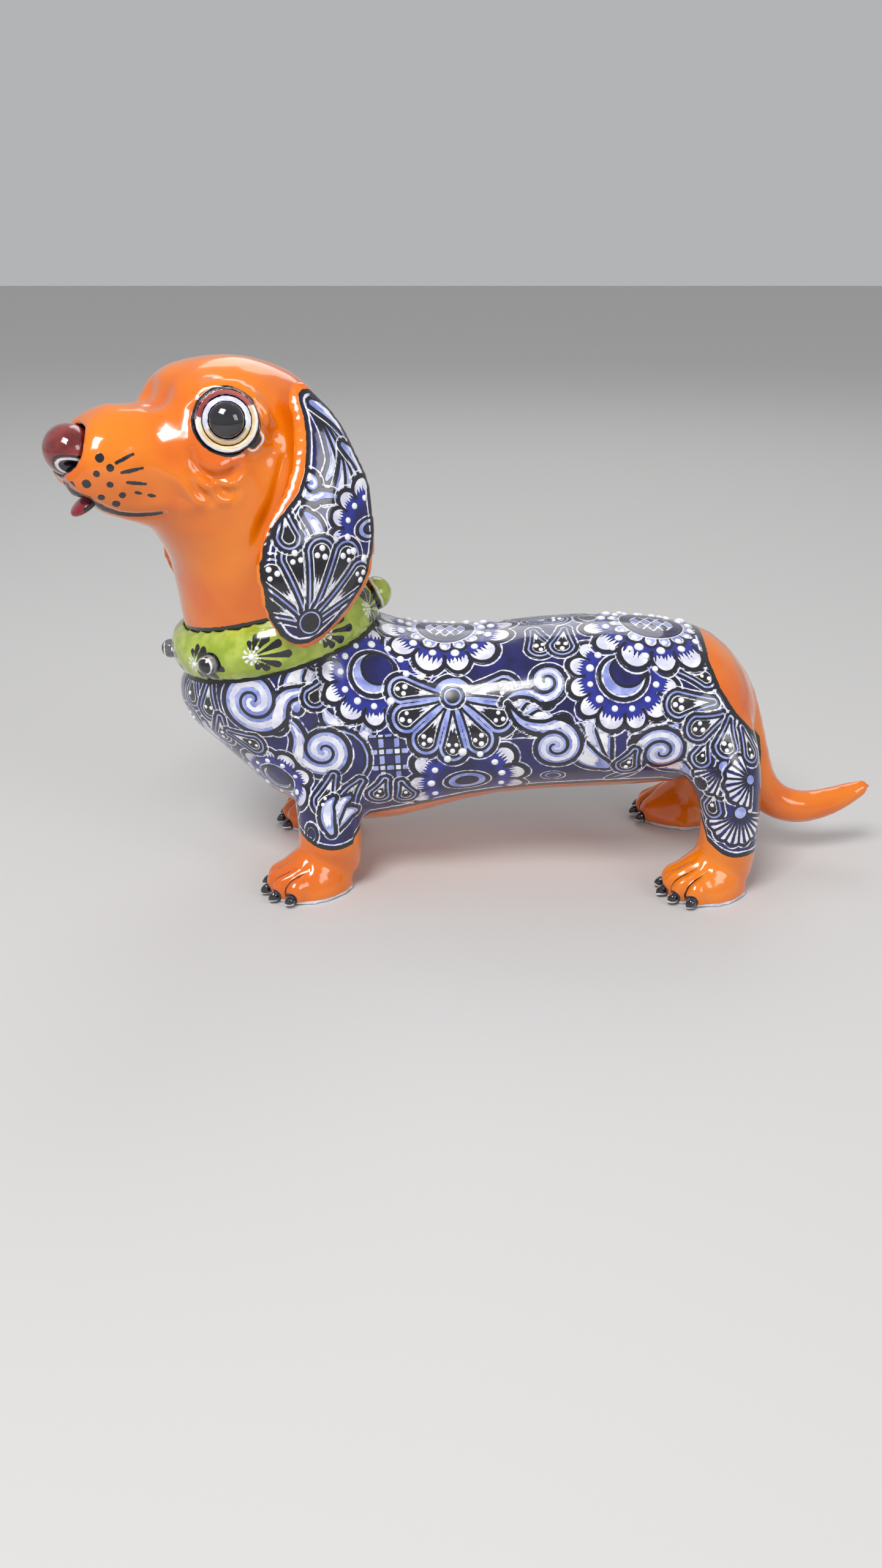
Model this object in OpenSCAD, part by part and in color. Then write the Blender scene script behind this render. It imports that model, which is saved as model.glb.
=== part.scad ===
// Standing dachshund figurine in hand-painted, glazed earthenware.
// The dog faces -X, its left side faces -Y, and its soles stand on Z = 0.
// The clay parts are modelled one by one, the way they are luted together before firing.

/* [Torso] */
// Length of the torso from breast to rump
torso_length = 194; // [150:1:240]
// Height of the lowest point of the back above the ground
back_height = 83; // [70:1:100]
// Clearance between the ground and the waist
waist_clearance = 28; // [20:1:36]
// Depth that the breast hangs below the waist
breast_drop = 12; // [6:1:16]
// Width of the torso at the ribs
torso_width = 67; // [56:1:84]
// Thickness of the clay walls of torso and head
wall = 4.5; // [3:0.5:7]
// Diameter of the firing vent under the belly
vent_diameter = 7; // [4:0.5:10]

/* [Head] */
// Length of the head from the middle of the neck to the muzzle tip
head_length = 69; // [60:1:84]
// Height of the crown above the middle of the neck joint
head_height = 87; // [74:1:104]
// Width of the skull at the eyes
head_width = 53; // [46:1:62]
// Diameter of the neck
neck_diameter = 58; // [50:1:66]
// Turn of the head towards the dog's left side
head_turn = 33; // [0:1:45]
// Slope of the neck joint, which rises towards the back
neck_slope = 14; // [0:1:24]

/* [Face] */
// Diameter of each eyeball's visible face
eyeball_diameter = 16.4; // [12:0.2:20]
// Diameter of the raised pupil
pupil_diameter = 10.4; // [7:0.2:12]
// Diameter of the coil of clay that makes the eyelid
eyelid_coil = 2.4; // [1.4:0.1:3]
// Diameter of the nose
nose_diameter = 14.8; // [11:0.2:18]
// Width of the tongue tip
tongue_width = 9; // [6:0.5:12]

/* [Ears] */
// Length of an ear from root to tip
ear_length = 76; // [60:1:92]
// Width of an ear at its widest
ear_width = 41; // [32:1:50]
// Thickness of an ear
ear_thickness = 6; // [4:0.5:9]
// Clearance between the hanging ears and the collar
ear_clearance = 0.5; // [0.3:0.1:3]

/* [Collar] */
// Height of the collar band
collar_height = 18; // [11:0.5:22]
// Thickness of the collar band
collar_thickness = 6.5; // [4:0.5:9]
// Diameter of each collar stud
stud_diameter = 6.4; // [4:0.2:9]
// Angle from the front stud to the stud on the dog's left side
left_stud_turn = 60; // [30:1:80]
// Angle from the front stud to the stud on the dog's right side
right_stud_turn = 80; // [66:1:110]
// Diameter of the knot at the back of the collar
knot_diameter = 11; // [8:0.5:16]

/* [Legs] */
// Distance from the breast back to the front ankles
front_leg_set = 51.5; // [42:0.5:62]
// Distance from the rump forward to the rear ankles
rear_leg_set = 10.5; // [6:0.5:20]
// Distance across the body between the middles of the front ankles
front_stance = 53; // [44:1:62]
// Distance across the body between the middles of the rear ankles
rear_stance = 58; // [46:1:66]
// Thickness of a front ankle
front_ankle = 21; // [16:0.5:26]
// Thickness of a rear ankle
rear_ankle = 19; // [15:0.5:24]
// Length of a paw
paw_length = 31; // [26:1:40]
// Width of a paw
paw_width = 24; // [18:0.5:30]
// Height of a paw at the instep
paw_height = 15.5; // [11:0.5:20]
// Angle by which the front paws point outwards
front_splay = 18; // [0:1:30]
// Angle by which the rear paws point outwards
rear_splay = 22; // [0:1:30]
// Twist of both front paws towards the dog's left side
front_twist = 12; // [0:1:15]
// Twist of both rear paws towards the dog's left side
rear_twist = 4; // [0:1:15]
// Diameter of each claw
claw_diameter = 4; // [2.5:0.1:5]

/* [Tail] */
// Reach of the tail behind the rump
tail_reach = 44; // [34:1:56]
// Thickness of the tail at its root
tail_root = 22; // [16:0.5:28]
// Thickness of the tail at its bend
tail_middle = 12.5; // [10:0.5:18]

/* [Hidden] */

orange = [0.93, 0.47, 0.05];
cobalt = [0.16, 0.20, 0.55];
green = [0.68, 0.74, 0.32];
ink = [0.06, 0.06, 0.09];
cream = [0.93, 0.88, 0.74];
maroon = [0.50, 0.12, 0.13];
crimson = [0.62, 0.10, 0.20];
lid_pink = [0.80, 0.40, 0.40];

left = -1;
right = 1;
far = 400;
round_segments = 36;
small_segments = 20;
body_rings = 26;
cavity_rings = 18;
cavity_segments = 24;

// Where the torso and the neck lie along the body
torso_middle = -8;
rump_x = torso_middle + torso_length / 2;
breast_x = torso_middle - torso_length / 2;
breast_lead = 5;
neck_x = breast_x + breast_lead + neck_diameter / 2;
neck_z = back_height + 0.5;

// A point on the smooth curve through the rows of a list, u counting the rows
function curve(rows, u) =
    let (last = len(rows) - 1, i = min(floor(u), last - 1), t = u - i)
    let (a = rows[max(i - 1, 0)], b = rows[i], c = rows[i + 1], d = rows[min(i + 2, last)])
    0.5 * (2 * b + (c - a) * t + (2 * a - 5 * b + 4 * c - d) * t * t
        + (3 * b - a - 3 * c + d) * t * t * t);

// The same curve at evenly spread places
function smooth(rows, count) = [for (k = [0:count]) curve(rows, k * (len(rows) - 1) / count)];

// The same list, last row first
function backwards(rows) = [for (k = [len(rows) - 1:-1:0]) rows[k]];

// Middle of a ring of points
function middle(ring) = [for (j = [0:2]) let (v = [for (p = ring) p[j]]) (min(v) + max(v)) / 2];

// A solid skin over rings that all have the same number of points, which turn
// clockwise when they are seen from the last ring
module skin(rings) {
    m = len(rings);
    n = len(rings[0]);
    points = concat([for (r = rings) each r], [middle(rings[0]), middle(rings[m - 1])]);
    sides = [for (i = [0:m - 2], j = [0:n - 1])
        let (a = i * n + j, b = i * n + (j + 1) % n)
        each [[a, b, b + n], [a, b + n, a + n]]];
    first = [for (j = [0:n - 1]) [(j + 1) % n, j, m * n]];
    last = [for (j = [0:n - 1]) [(m - 1) * n + j, (m - 1) * n + (j + 1) % n, m * n + 1]];
    polyhedron(points, concat(sides, first, last));
}

// An oval ring across the XZ plane, from its top point to its bottom point
// section = [top x, top z, bottom x, bottom z, half width], inset moves it inwards
function section_ring(section, inset, n) =
    let (top = [section[0], section[1]], bottom = [section[2], section[3]])
    let (half = norm(top - bottom) / 2, across = (top - bottom) / (2 * half))
    let (centre = (top + bottom) / 2, h = max(half - inset, 0.2), w = max(section[4] - inset, 0.2))
    [for (j = [0:n - 1]) let (a = 360 * j / n)
        [centre[0] + across[0] * h * cos(a), w * sin(a), centre[1] + across[1] * h * cos(a)]];

// Everything on the head's side of the neck joint
module above_neck_joint() {
    translate([neck_x, 0, neck_z])
        rotate([0, -neck_slope, 0])
            translate([-far / 2, -far / 2, 0]) cube(far);
}

// Places a piece in the turned head: X points back from the middle of the neck
module in_head() {
    translate([neck_x, 0, neck_z]) rotate([0, 0, head_turn]) children();
}

// Mirrors a piece that is drawn for the dog's right side over to the side asked for
module on_side(side) {
    mirror([0, side == left ? 1 : 0, 0]) children();
}

// Clay forms that are carved into one another as one piece, at their own size
module carved() {
    resize([0, 0, 0]) children();
}

// ---- torso ----

// Rows from the rump to the neck: top x, top z, bottom x, bottom z, half width
function torso_rows() =
    let (l = torso_length, b = back_height, w = torso_width / 2, c = waist_clearance)
    let (k = waist_clearance - breast_drop, f = breast_x, r = neck_diameter / 2)
    let (front = neck_z - r * tan(neck_slope), back = neck_z + r * tan(neck_slope))
    let (rise = front - k)
    [[rump_x, b - 27, rump_x, b - 31, 0.08 * w],
    [rump_x - 1.5, b - 19, rump_x - 1.5, b - 39, 0.42 * w],
    [rump_x - 6, b - 11, rump_x - 6, b - 47, 0.68 * w],
    [rump_x - 14, b - 3.2, rump_x - 14, b - 50.5, 0.88 * w],
    [rump_x - 0.14 * l, b + 1.2, rump_x - 0.14 * l, c + 3, 0.98 * w],
    [rump_x - 0.25 * l, b + 3.4, rump_x - 0.25 * l, c + 1, w],
    [rump_x - 0.36 * l, b + 2.6, rump_x - 0.36 * l, c, 0.99 * w],
    [rump_x - 0.46 * l, b + 0.5, rump_x - 0.47 * l, c - 2.5, 0.98 * w],
    [rump_x - 0.53 * l, b, rump_x - 0.57 * l, k + 4, 0.99 * w],
    [neck_x + r + 16, b + 1, f + 66, k, w],
    [neck_x + r + 8, b + 3, f + 48, k + 0.04 * rise, 1.01 * w],
    [neck_x + r + 3, b + 5, f + 31, k + 0.18 * rise, 1.01 * w],
    [neck_x + r + 1, b + 7, f + 17, k + 0.42 * rise, 0.99 * w],
    [neck_x + r, back + 1.3, f + 4, k + 0.62 * rise, 0.95 * w],
    [neck_x + r, back + 3.3, f + 0.5, k + 0.8 * rise, 0.5 * w + 0.45 * r],
    [neck_x + r, back + 8.3, neck_x - r, k + 0.95 * rise, r],
    [neck_x + r, back + 16.3, neck_x - r, k + 1.1 * rise, r]];

module torso_form() {
    skin([for (s = smooth(backwards(torso_rows()), body_rings))
        section_ring(s, 0, round_segments)]);
}

module torso_cavity() {
    intersection() {
        skin([for (s = smooth(backwards(torso_rows()), cavity_rings))
            section_ring(s, wall, cavity_segments)]);
        translate([rump_x - wall - far, -far / 2, 0]) cube(far);
    }
}

module torso() {
    color(cobalt) difference() {
        carved() difference() {
            torso_form();
            torso_cavity();
            above_neck_joint();
        }
        translate([torso_middle + 20, 0, 0])
            cylinder(d = vent_diameter, h = back_height / 2, $fn = round_segments);
    }
}

// ---- head ----

// Rows from the muzzle tip to the neck, with X pointing back and Z from the neck joint
function head_rows() =
    let (l = head_length, t = head_height, w = head_width / 2, r = neck_diameter / 2)
    [[-l + 6.5, t - 21.5, -l + 4.5, t - 28, 2],
    [-l + 8, t - 17, -l + 1.2, t - 32, 8],
    [-l + 10.5, t - 14, -l + 3, t - 36.5, 12.5],
    [-l + 16, t - 12.2, -l + 12, t - 43, 15.5],
    [-0.64 * l, t - 11.2, -0.68 * l, t - 47, 0.64 * w],
    [-0.55 * l, t - 8.8, -0.59 * l, t - 50, 0.73 * w],
    [-0.47 * l, t - 3, -0.55 * l, t - 53.5, 0.84 * w],
    [-0.35 * l, t - 0.6, -0.51 * l, t - 58, 0.94 * w],
    [-0.17 * l, t, -1.13 * r, t - 64, w],
    [0, t - 2.4, -1.1 * r, t - 70, 1.02 * w],
    [0.38 * r, t - 8, -1.08 * r, 0.138 * t, 0.5 * w + 0.54 * r],
    [0.68 * r, t - 19, -1.07 * r, 0.092 * t, 0.4 * w + 0.64 * r],
    [0.86 * r, 0.62 * t, -1.06 * r, 0.052 * t, 0.2 * w + 0.82 * r],
    [0.95 * r, 0.437 * t, -1.04 * r, 0.011 * t, r],
    [r, 0.24 * t, -1.02 * r, -4, r],
    [r, 5, -r, -11, r],
    [r, -1, -r, -19, r]];

module head_form() {
    in_head() skin([for (s = smooth(head_rows(), body_rings + 4))
        section_ring(s, 0, round_segments)]);
}

module head_cavity() {
    in_head() intersection() {
        skin([for (s = smooth(head_rows(), cavity_rings))
            section_ring(s, wall, cavity_segments)]);
        translate([-head_length / 2 - 4, -far / 2, -far / 2]) cube(far);
    }
}

// Eye place in the head: back from the neck's middle, sideways, and up
eye_x = -0.345 * head_length;
eye_y = 0.85 * head_width / 2;
eye_z = head_height - 16.3;
eye_out = 66;
eye_up = 12;
eye_flatness = 0.5;
pupil_flatness = 0.62;
lid_height = eyeball_diameter * 0.08;

// The origin is on the eyeball's middle and Z points where the dog looks
module in_eye(side) {
    in_head() on_side(side) translate([eye_x, eye_y, eye_z])
        rotate([0, 0, 180 - eye_out]) rotate([0, 90 - eye_up, 0]) children();
}

module eyeball_form(side, segments) {
    in_eye(side) scale([1, 1, eye_flatness]) sphere(d = eyeball_diameter, $fn = segments);
}

// The swelling of the skull that carries an eye
module eye_mound(side) {
    in_eye(side) translate([0, 0, -0.18 * eyeball_diameter])
        scale([1, 1, 0.4]) sphere(d = 1.55 * eyeball_diameter, $fn = cavity_segments);
}

module pupil_form(side) {
    in_eye(side) translate([0, 0, eye_flatness * eyeball_diameter / 2 - 0.12 * pupil_diameter])
        scale([1, 1, pupil_flatness]) sphere(d = pupil_diameter, $fn = round_segments);
}

module eyelid_form(side, segments) {
    in_eye(side) translate([0, 0, lid_height])
        rotate_extrude($fn = segments) translate([eyeball_diameter / 2, 0])
            circle(d = eyelid_coil, $fn = small_segments);
}

// The space inside the lid's ring, which only the eyeball fills
module lid_well(side) {
    in_eye(side) translate([0, 0, lid_height])
        cylinder(d = eyeball_diameter, h = eyelid_coil, $fn = cavity_segments);
}

module nose_form(segments) {
    in_head() translate([-head_length + 5, 0, head_height - 24])
        scale([1, 1.15, 1.02]) sphere(d = nose_diameter, $fn = segments);
}

module tongue_form(segments) {
    in_head() translate([-head_length + 8.5, 0, head_height - 40])
        rotate([0, -34, 0]) scale([1.25, 1, 0.42]) sphere(d = tongue_width, $fn = segments);
}

module head() {
    color(orange) carved() intersection() {
        difference() {
            union() {
                head_form();
                eye_mound(left);
                eye_mound(right);
            }
            head_cavity();
            for (side = [left, right]) {
                eyeball_form(side, cavity_segments);
                eyelid_form(side, cavity_segments);
                lid_well(side);
            }
            nose_form(cavity_segments);
            tongue_form(cavity_segments);
            knot_form(small_segments);
        }
        above_neck_joint();
    }
}

module eyeball(side) {
    color(cream) difference() {
        eyeball_form(side, round_segments);
        pupil_form(side);
        eyelid_form(side, round_segments);
    }
}

module pupil(side) {
    color(ink) pupil_form(side);
}

module eyelid(side) {
    color(lid_pink) eyelid_form(side, round_segments);
}

module nose() {
    color(maroon) nose_form(round_segments);
}

module tongue() {
    color(crimson) tongue_form(round_segments);
}

// ---- ears ----

// Rows from root to tip: height share, forward shift, half width share, spread share, thickness share
ear_rows = [[0, 0.5, 0.08, 0.55, 0.5],
    [0.05, 0.5, 0.24, 0.60, 0.8],
    [0.14, 3, 0.38, 0.70, 1],
    [0.26, 4, 0.51, 0.79, 1],
    [0.38, 3.2, 0.70, 0.87, 1],
    [0.50, -0.5, 0.90, 0.93, 1],
    [0.63, -3, 0.99, 0.98, 1],
    [0.76, -4.5, 0.94, 1, 1],
    [0.88, -7, 0.68, 1, 0.95],
    [0.965, -9, 0.34, 1, 0.8],
    [1, -9.5, 0.06, 1, 0.4]];

ear_spread = neck_diameter / 2 + collar_thickness + ear_clearance + ear_thickness / 2;

function ear_ring(row, n) =
    let (half = row[2] * ear_width / 2, thick = row[4] * ear_thickness / 2)
    let (z = head_height - 7 - row[0] * ear_length, y = row[3] * ear_spread)
    [for (j = [0:n - 1]) let (a = 360 * j / n, across = cos(a))
        [row[1] + half * across, y + thick * sin(a) - 0.10 * half * across * across, z]];

module ear_form(side) {
    in_head() on_side(side) skin([for (s = smooth(ear_rows, 18)) ear_ring(s, cavity_segments)]);
}

module ear(side) {
    color(cobalt) carved() difference() {
        ear_form(side);
        head_form();
    }
}

// ---- collar ----

collar_rise = 1;
stud_stand = 1.2;
knot_sink = 1;

// One cross-section of the band: a flattened half round, wider in the middle
function band_ring(turn, n) =
    let (reach = neck_diameter / 2 - 0.6 * wall)
    let (outward = neck_diameter / 2 + collar_thickness - reach)
    [for (j = [0:n - 1]) let (a = 360 * j / n, bulge = max(0, cos(a)))
        let (r = reach + outward * pow(bulge, 0.7))
        [r * cos(turn), r * sin(turn), collar_height / 2 * sin(a)]];

// The origin is at the middle of the band and Z points along the neck
module in_collar() {
    translate([neck_x, 0, neck_z]) rotate([0, -neck_slope, 0])
        translate([0, 0, collar_rise]) children();
}

module band_form() {
    n = 14;
    turns = 40;
    points = [for (k = [0:turns - 1]) each band_ring(360 * k / turns, n)];
    faces = [for (k = [0:turns - 1], j = [0:n - 1])
        let (next = (k + 1) % turns, a = k * n + j, b = k * n + (j + 1) % n)
        let (c = next * n + (j + 1) % n, d = next * n + j)
        each [[a, b, c], [a, c, d]]];
    in_collar() polyhedron(points, faces);
}

module studs_form(segments) {
    in_collar() for (turn = [left_stud_turn, 0, -right_stud_turn]) rotate([0, 0, 180 + turn])
        translate([neck_diameter / 2 + collar_thickness + stud_stand, 0, 0])
            sphere(d = stud_diameter, $fn = segments);
}

module knot_form(segments) {
    in_collar() translate([neck_diameter / 2 + collar_thickness - knot_sink, 0, 0.1 * collar_height])
        sphere(d = knot_diameter, $fn = segments);
}

module collar() {
    color(green) carved() difference() {
        band_form();
        torso_form();
        head_form();
        studs_form(small_segments);
        knot_form(small_segments);
    }
}

module collar_studs() {
    color(ink) studs_form(round_segments);
}

module collar_knot() {
    color(green) knot_form(round_segments);
}

// ---- legs ----

front_ankle_x = breast_x + front_leg_set;
rear_ankle_x = rump_x - rear_leg_set;
front_ankle_y = front_stance / 2;
rear_ankle_y = rear_stance / 2;
paw_forward = 0.2 * paw_length;
paw_inset = 1.5;

// Rows from the top down: height, forward shift, outward shift, half length, half width
function front_rows() =
    let (top = waist_clearance + 26, a = front_ankle / 2)
    [[top, 0, -13, 1.25 * a, 1.15 * a],
    [top - 12, 0, -7.5, 1.22 * a, 1.15 * a],
    [top - 22, 0, -3, 1.1 * a, 1.05 * a],
    [top - 31, 0, -0.8, a, 0.96 * a],
    [paw_height, 0, -0.5, a, 0.92 * a],
    [0.4 * paw_height, 0, -3, 0.95 * a, 0.72 * a]];

function rear_rows() =
    let (top = waist_clearance + 36, a = rear_ankle / 2)
    [[top, 9, -16, 1.5 * a, 1.2 * a],
    [top - 10, 7.5, -10, 1.62 * a, 1.4 * a],
    [top - 19, 4.5, -6, 1.48 * a, 1.35 * a],
    [top - 27, 1.5, -2.8, 1.2 * a, 1.17 * a],
    [top - 34, 0, -1, 1.03 * a, 1.03 * a],
    [paw_height + 4, 0, 0, a, a],
    [paw_height, 0.5, 0, 1.04 * a, a],
    [0.4 * paw_height, 0.5, -1.5, a, 0.85 * a]];

function leg_ring(row, n) =
    [for (j = [0:n - 1]) let (a = 360 * j / n)
        [-row[1] + row[3] * cos(a), row[2] + row[4] * sin(a), row[0]]];

// Puts a piece at an ankle: the origin is under the ankle, +Y points outwards
module at_ankle(side, x, y) {
    on_side(side) translate([x, y, 0]) children();
}

toe_lead = 1;
toe_count = 4;
toe_fan = 26;
toe_radius = 0.21 * paw_width;
toe_segments = 14;

function toe_angle(k) = (k - (toe_count - 1) / 2) * toe_fan;

// The origin is under the middle of the paw and -X runs along the middle toes
module in_paw(splay) {
    rotate([0, 0, -splay]) translate([-paw_forward, -paw_inset, 0]) children();
}

// Repeats a piece at every toe, with the origin under the toe's middle
module at_toes(splay) {
    in_paw(splay)
        for (k = [0:toe_count - 1]) let (a = toe_angle(k))
            translate([-(paw_length / 2 - toe_radius) * cos(a),
                -(paw_width / 2 - 0.7 * toe_radius) * sin(a), 0])
                rotate([0, 0, a]) children();
}

module claws_form(side, x, y, splay, segments) {
    at_ankle(side, x, y) at_toes(splay)
        translate([-toe_radius - 0.4, 0, 0.62 * claw_diameter])
            scale([1.1, 0.9, 1]) sphere(d = claw_diameter, $fn = segments);
}

module paw_form(splay) {
    intersection() {
        union() {
            in_paw(splay)
                scale([paw_length / 2 - toe_lead, paw_width / 2, paw_height])
                    sphere(r = 1, $fn = cavity_segments);
            at_toes(splay) translate([0, 0, 0.25 * paw_height])
                scale([1.15, 1, 1.25]) sphere(r = toe_radius, $fn = toe_segments);
        }
        translate([-far / 2, -far / 2, 0]) cube(far);
    }
}

module leg(side, x, y, splay, rows) {
    color(orange) carved() difference() {
        at_ankle(side, x, y) union() {
            skin([for (s = smooth(rows, 10)) leg_ring(s, small_segments)]);
            paw_form(splay);
        }
        torso_form();
        claws_form(side, x, y, splay, 12);
    }
}

function front_turn(side) = front_splay - side * front_twist;
function rear_turn(side) = rear_splay - side * rear_twist;

module front_leg(side) {
    leg(side, front_ankle_x, front_ankle_y, front_turn(side), front_rows());
}

module rear_leg(side) {
    leg(side, rear_ankle_x, rear_ankle_y, rear_turn(side), rear_rows());
}

module front_claws(side) {
    color(ink) claws_form(side, front_ankle_x, front_ankle_y, front_turn(side), small_segments);
}

module rear_claws(side) {
    color(ink) claws_form(side, rear_ankle_x, rear_ankle_y, rear_turn(side), small_segments);
}

// ---- tail ----

// Rows from root to tip: share of the reach behind the rump, height, radius
function tail_rows() =
    let (b = back_height, root = tail_root / 2, mid = tail_middle / 2)
    [[-0.48, b - 15, root],
    [-0.34, b - 17, root],
    [-0.18, b - 23, 0.5 * root + 0.5 * mid],
    [-0.06, b - 33, 1.1 * mid],
    [0.02, b - 44, 1.04 * mid],
    [0.11, b - 55, mid],
    [0.25, b - 62.5, mid],
    [0.45, b - 65.3, 0.93 * mid],
    [0.66, b - 63.8, 0.80 * mid],
    [0.84, b - 60.3, 0.62 * mid],
    [0.96, b - 57.6, 0.38 * mid],
    [1, b - 56.6, 0.1 * mid]];

tail_segments = 18;

module tail_form() {
    rows = smooth(tail_rows(), 24);
    path = [for (r = rows) [rump_x + r[0] * tail_reach, r[1]]];
    last = len(rows) - 1;
    skin([for (i = [0:last])
        let (along = path[min(i + 1, last)] - path[max(i - 1, 0)])
        let (unit = along / norm(along), r = rows[i][2])
        [for (j = [0:tail_segments - 1]) let (a = 360 * j / tail_segments)
            [path[i][0] + unit[1] * r * cos(a), -r * sin(a), path[i][1] - unit[0] * r * cos(a)]]]);
}

module tail() {
    color(orange) carved() difference() {
        tail_form();
        torso_form();
    }
}

torso();
head();
ear(left);  // ear_left
ear(right);  // ear_right
eyeball(left);  // eyeball_left
eyeball(right);  // eyeball_right
pupil(left);  // pupil_left
pupil(right);  // pupil_right
eyelid(left);  // eyelid_left
eyelid(right);  // eyelid_right
nose();
tongue();
collar();
collar_studs();
collar_knot();
front_leg(left);  // leg_front_left
front_leg(right);  // leg_front_right
rear_leg(left);  // leg_rear_left
rear_leg(right);  // leg_rear_right
front_claws(left);  // claws_front_left
front_claws(right);  // claws_front_right
rear_claws(left);  // claws_rear_left
rear_claws(right);  // claws_rear_right
tail();
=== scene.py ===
"""Glazed earthenware hound: the smooth clay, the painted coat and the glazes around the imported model.

The dog faces -X, its left side faces -Y and +Z is up. Object data is in metres; the painting and
the modelling of the clay are worked out in millimetres.
"""
import logging
import math
from dataclasses import dataclass, replace
from enum import Enum
from typing import Sequence

import bmesh
import bpy
import numpy as np
from mathutils import Euler, Matrix, Vector
from mathutils.bvhtree import BVHTree


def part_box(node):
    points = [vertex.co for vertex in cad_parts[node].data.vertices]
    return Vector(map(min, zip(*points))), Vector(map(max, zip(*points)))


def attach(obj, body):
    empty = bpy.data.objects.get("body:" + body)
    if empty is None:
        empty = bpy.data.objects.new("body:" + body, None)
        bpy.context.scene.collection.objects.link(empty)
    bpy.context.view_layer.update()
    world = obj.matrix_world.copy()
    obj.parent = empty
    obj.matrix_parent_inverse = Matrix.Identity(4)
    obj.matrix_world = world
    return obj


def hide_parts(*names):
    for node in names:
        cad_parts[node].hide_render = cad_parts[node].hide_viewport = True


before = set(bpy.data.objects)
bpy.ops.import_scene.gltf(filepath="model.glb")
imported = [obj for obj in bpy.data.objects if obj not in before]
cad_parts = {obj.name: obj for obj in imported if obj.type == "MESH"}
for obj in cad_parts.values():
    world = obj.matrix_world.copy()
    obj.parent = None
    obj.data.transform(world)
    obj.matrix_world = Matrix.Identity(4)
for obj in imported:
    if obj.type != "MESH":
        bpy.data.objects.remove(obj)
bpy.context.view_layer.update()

MM = 0.001
Array = np.ndarray
Point = tuple[float, float, float]
Flat = tuple[float, float]
log = logging.getLogger("hound")


class Slot(Enum):
    """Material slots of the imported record."""

    ORANGE = "orange_glaze"
    COAT = "painted_coat"
    GREEN = "green_glaze"
    INK = "ink_glaze"
    EYE_WHITE = "eye_white"
    EYELID = "eyelid_glaze"
    NOSE = "nose_glaze"
    TONGUE = "tongue_glaze"


class Pot(Enum):
    """Paint pots, in the order in which the kiln shows them, lowest first."""

    ROYAL = "royal"
    PALE = "pale"
    WHITE = "white"
    ORANGE = "orange"
    LINE = "line"
    INK = "ink"


class Side(Enum):
    """Sides of the dog, with the sign of Y on that side."""

    LEFT = -1
    RIGHT = 1


class Heart(Enum):
    """What a painted flower has at its middle."""

    NET = "net"
    CRESCENT = "crescent"
    OVAL = "oval"


# ---------------------------------------------------------------------------------------------
# Mesh helpers
# ---------------------------------------------------------------------------------------------

def link(name: str, mesh: bpy.types.Mesh) -> bpy.types.Object:
    """Put a mesh into the scene as an object at the origin.

    Args:
        name: Name of the object.
        mesh: Its mesh, in metres.

    Returns:
        The new object.
    """
    obj = bpy.data.objects.new(name, mesh)
    bpy.context.scene.collection.objects.link(obj)
    return obj


def mesh_of(bm: bmesh.types.BMesh, name: str) -> bpy.types.Mesh:
    """Turn a bmesh into a mesh with smooth faces and free it.

    Args:
        bm: The bmesh.
        name: Name of the mesh.

    Returns:
        The mesh.
    """
    for face in bm.faces:
        face.smooth = True
    mesh = bpy.data.meshes.new(name)
    bm.to_mesh(mesh)
    bm.free()
    return mesh


def cad_copy(*nodes: str) -> bmesh.types.BMesh:
    """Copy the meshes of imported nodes, each with its doubles merged.

    Args:
        nodes: Names of the nodes.

    Returns:
        One bmesh that holds them all.
    """
    joined = bmesh.new()
    for node in nodes:
        part = bmesh.new()
        part.from_mesh(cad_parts[node].data)
        bmesh.ops.remove_doubles(part, verts=part.verts, dist=1e-6)
        mesh = mesh_of(part, node + "_copy")
        joined.from_mesh(mesh)
        bpy.data.meshes.remove(mesh)
    return joined


def modified(mesh: bpy.types.Mesh, kind: str, **settings: object) -> bpy.types.Mesh:
    """Run one modifier over a mesh.

    Args:
        mesh: The mesh, which is removed afterwards.
        kind: Type of the modifier.
        settings: Its settings.

    Returns:
        The resulting mesh.
    """
    carrier = link("carrier", mesh)
    modifier = carrier.modifiers.new(kind.lower(), kind)
    for key, value in settings.items():
        setattr(modifier, key, value)
    ready = carrier.evaluated_get(bpy.context.evaluated_depsgraph_get())
    result = bpy.data.meshes.new_from_object(ready)
    bpy.data.objects.remove(carrier)
    bpy.data.meshes.remove(mesh)
    return result


def voxels(mesh: bpy.types.Mesh, size: float) -> bpy.types.Mesh:
    """Fuse overlapping solids into one even skin of small quads."""
    return modified(mesh, "REMESH", mode="VOXEL", voxel_size=size * MM, adaptivity=0.0)


def subdivided(mesh: bpy.types.Mesh, levels: int) -> bpy.types.Mesh:
    """Divide every face of a mesh on a smooth surface."""
    return modified(mesh, "SUBSURF", levels=levels, render_levels=levels, quality=3)


def places(mesh: bpy.types.Mesh) -> Array:
    """Vertex places of a mesh in millimetres."""
    flat = np.empty(len(mesh.vertices) * 3, np.float32)
    mesh.vertices.foreach_get("co", flat)
    return flat.reshape(-1, 3).astype(float) / MM


def set_places(mesh: bpy.types.Mesh, points: Array) -> None:
    """Give a mesh new vertex places, in millimetres."""
    mesh.vertices.foreach_set("co", (points * MM).astype(np.float32).ravel())
    mesh.update()


def normals(mesh: bpy.types.Mesh) -> Array:
    """Vertex normals of a mesh."""
    flat = np.empty(len(mesh.vertices) * 3, np.float32)
    mesh.vertices.foreach_get("normal", flat)
    return flat.reshape(-1, 3).astype(float)


def edges_of(mesh: bpy.types.Mesh) -> Array:
    """Pairs of vertex numbers, one for each edge."""
    flat = np.empty(len(mesh.edges) * 2, np.int32)
    mesh.edges.foreach_get("vertices", flat)
    return flat.reshape(-1, 2)


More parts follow.
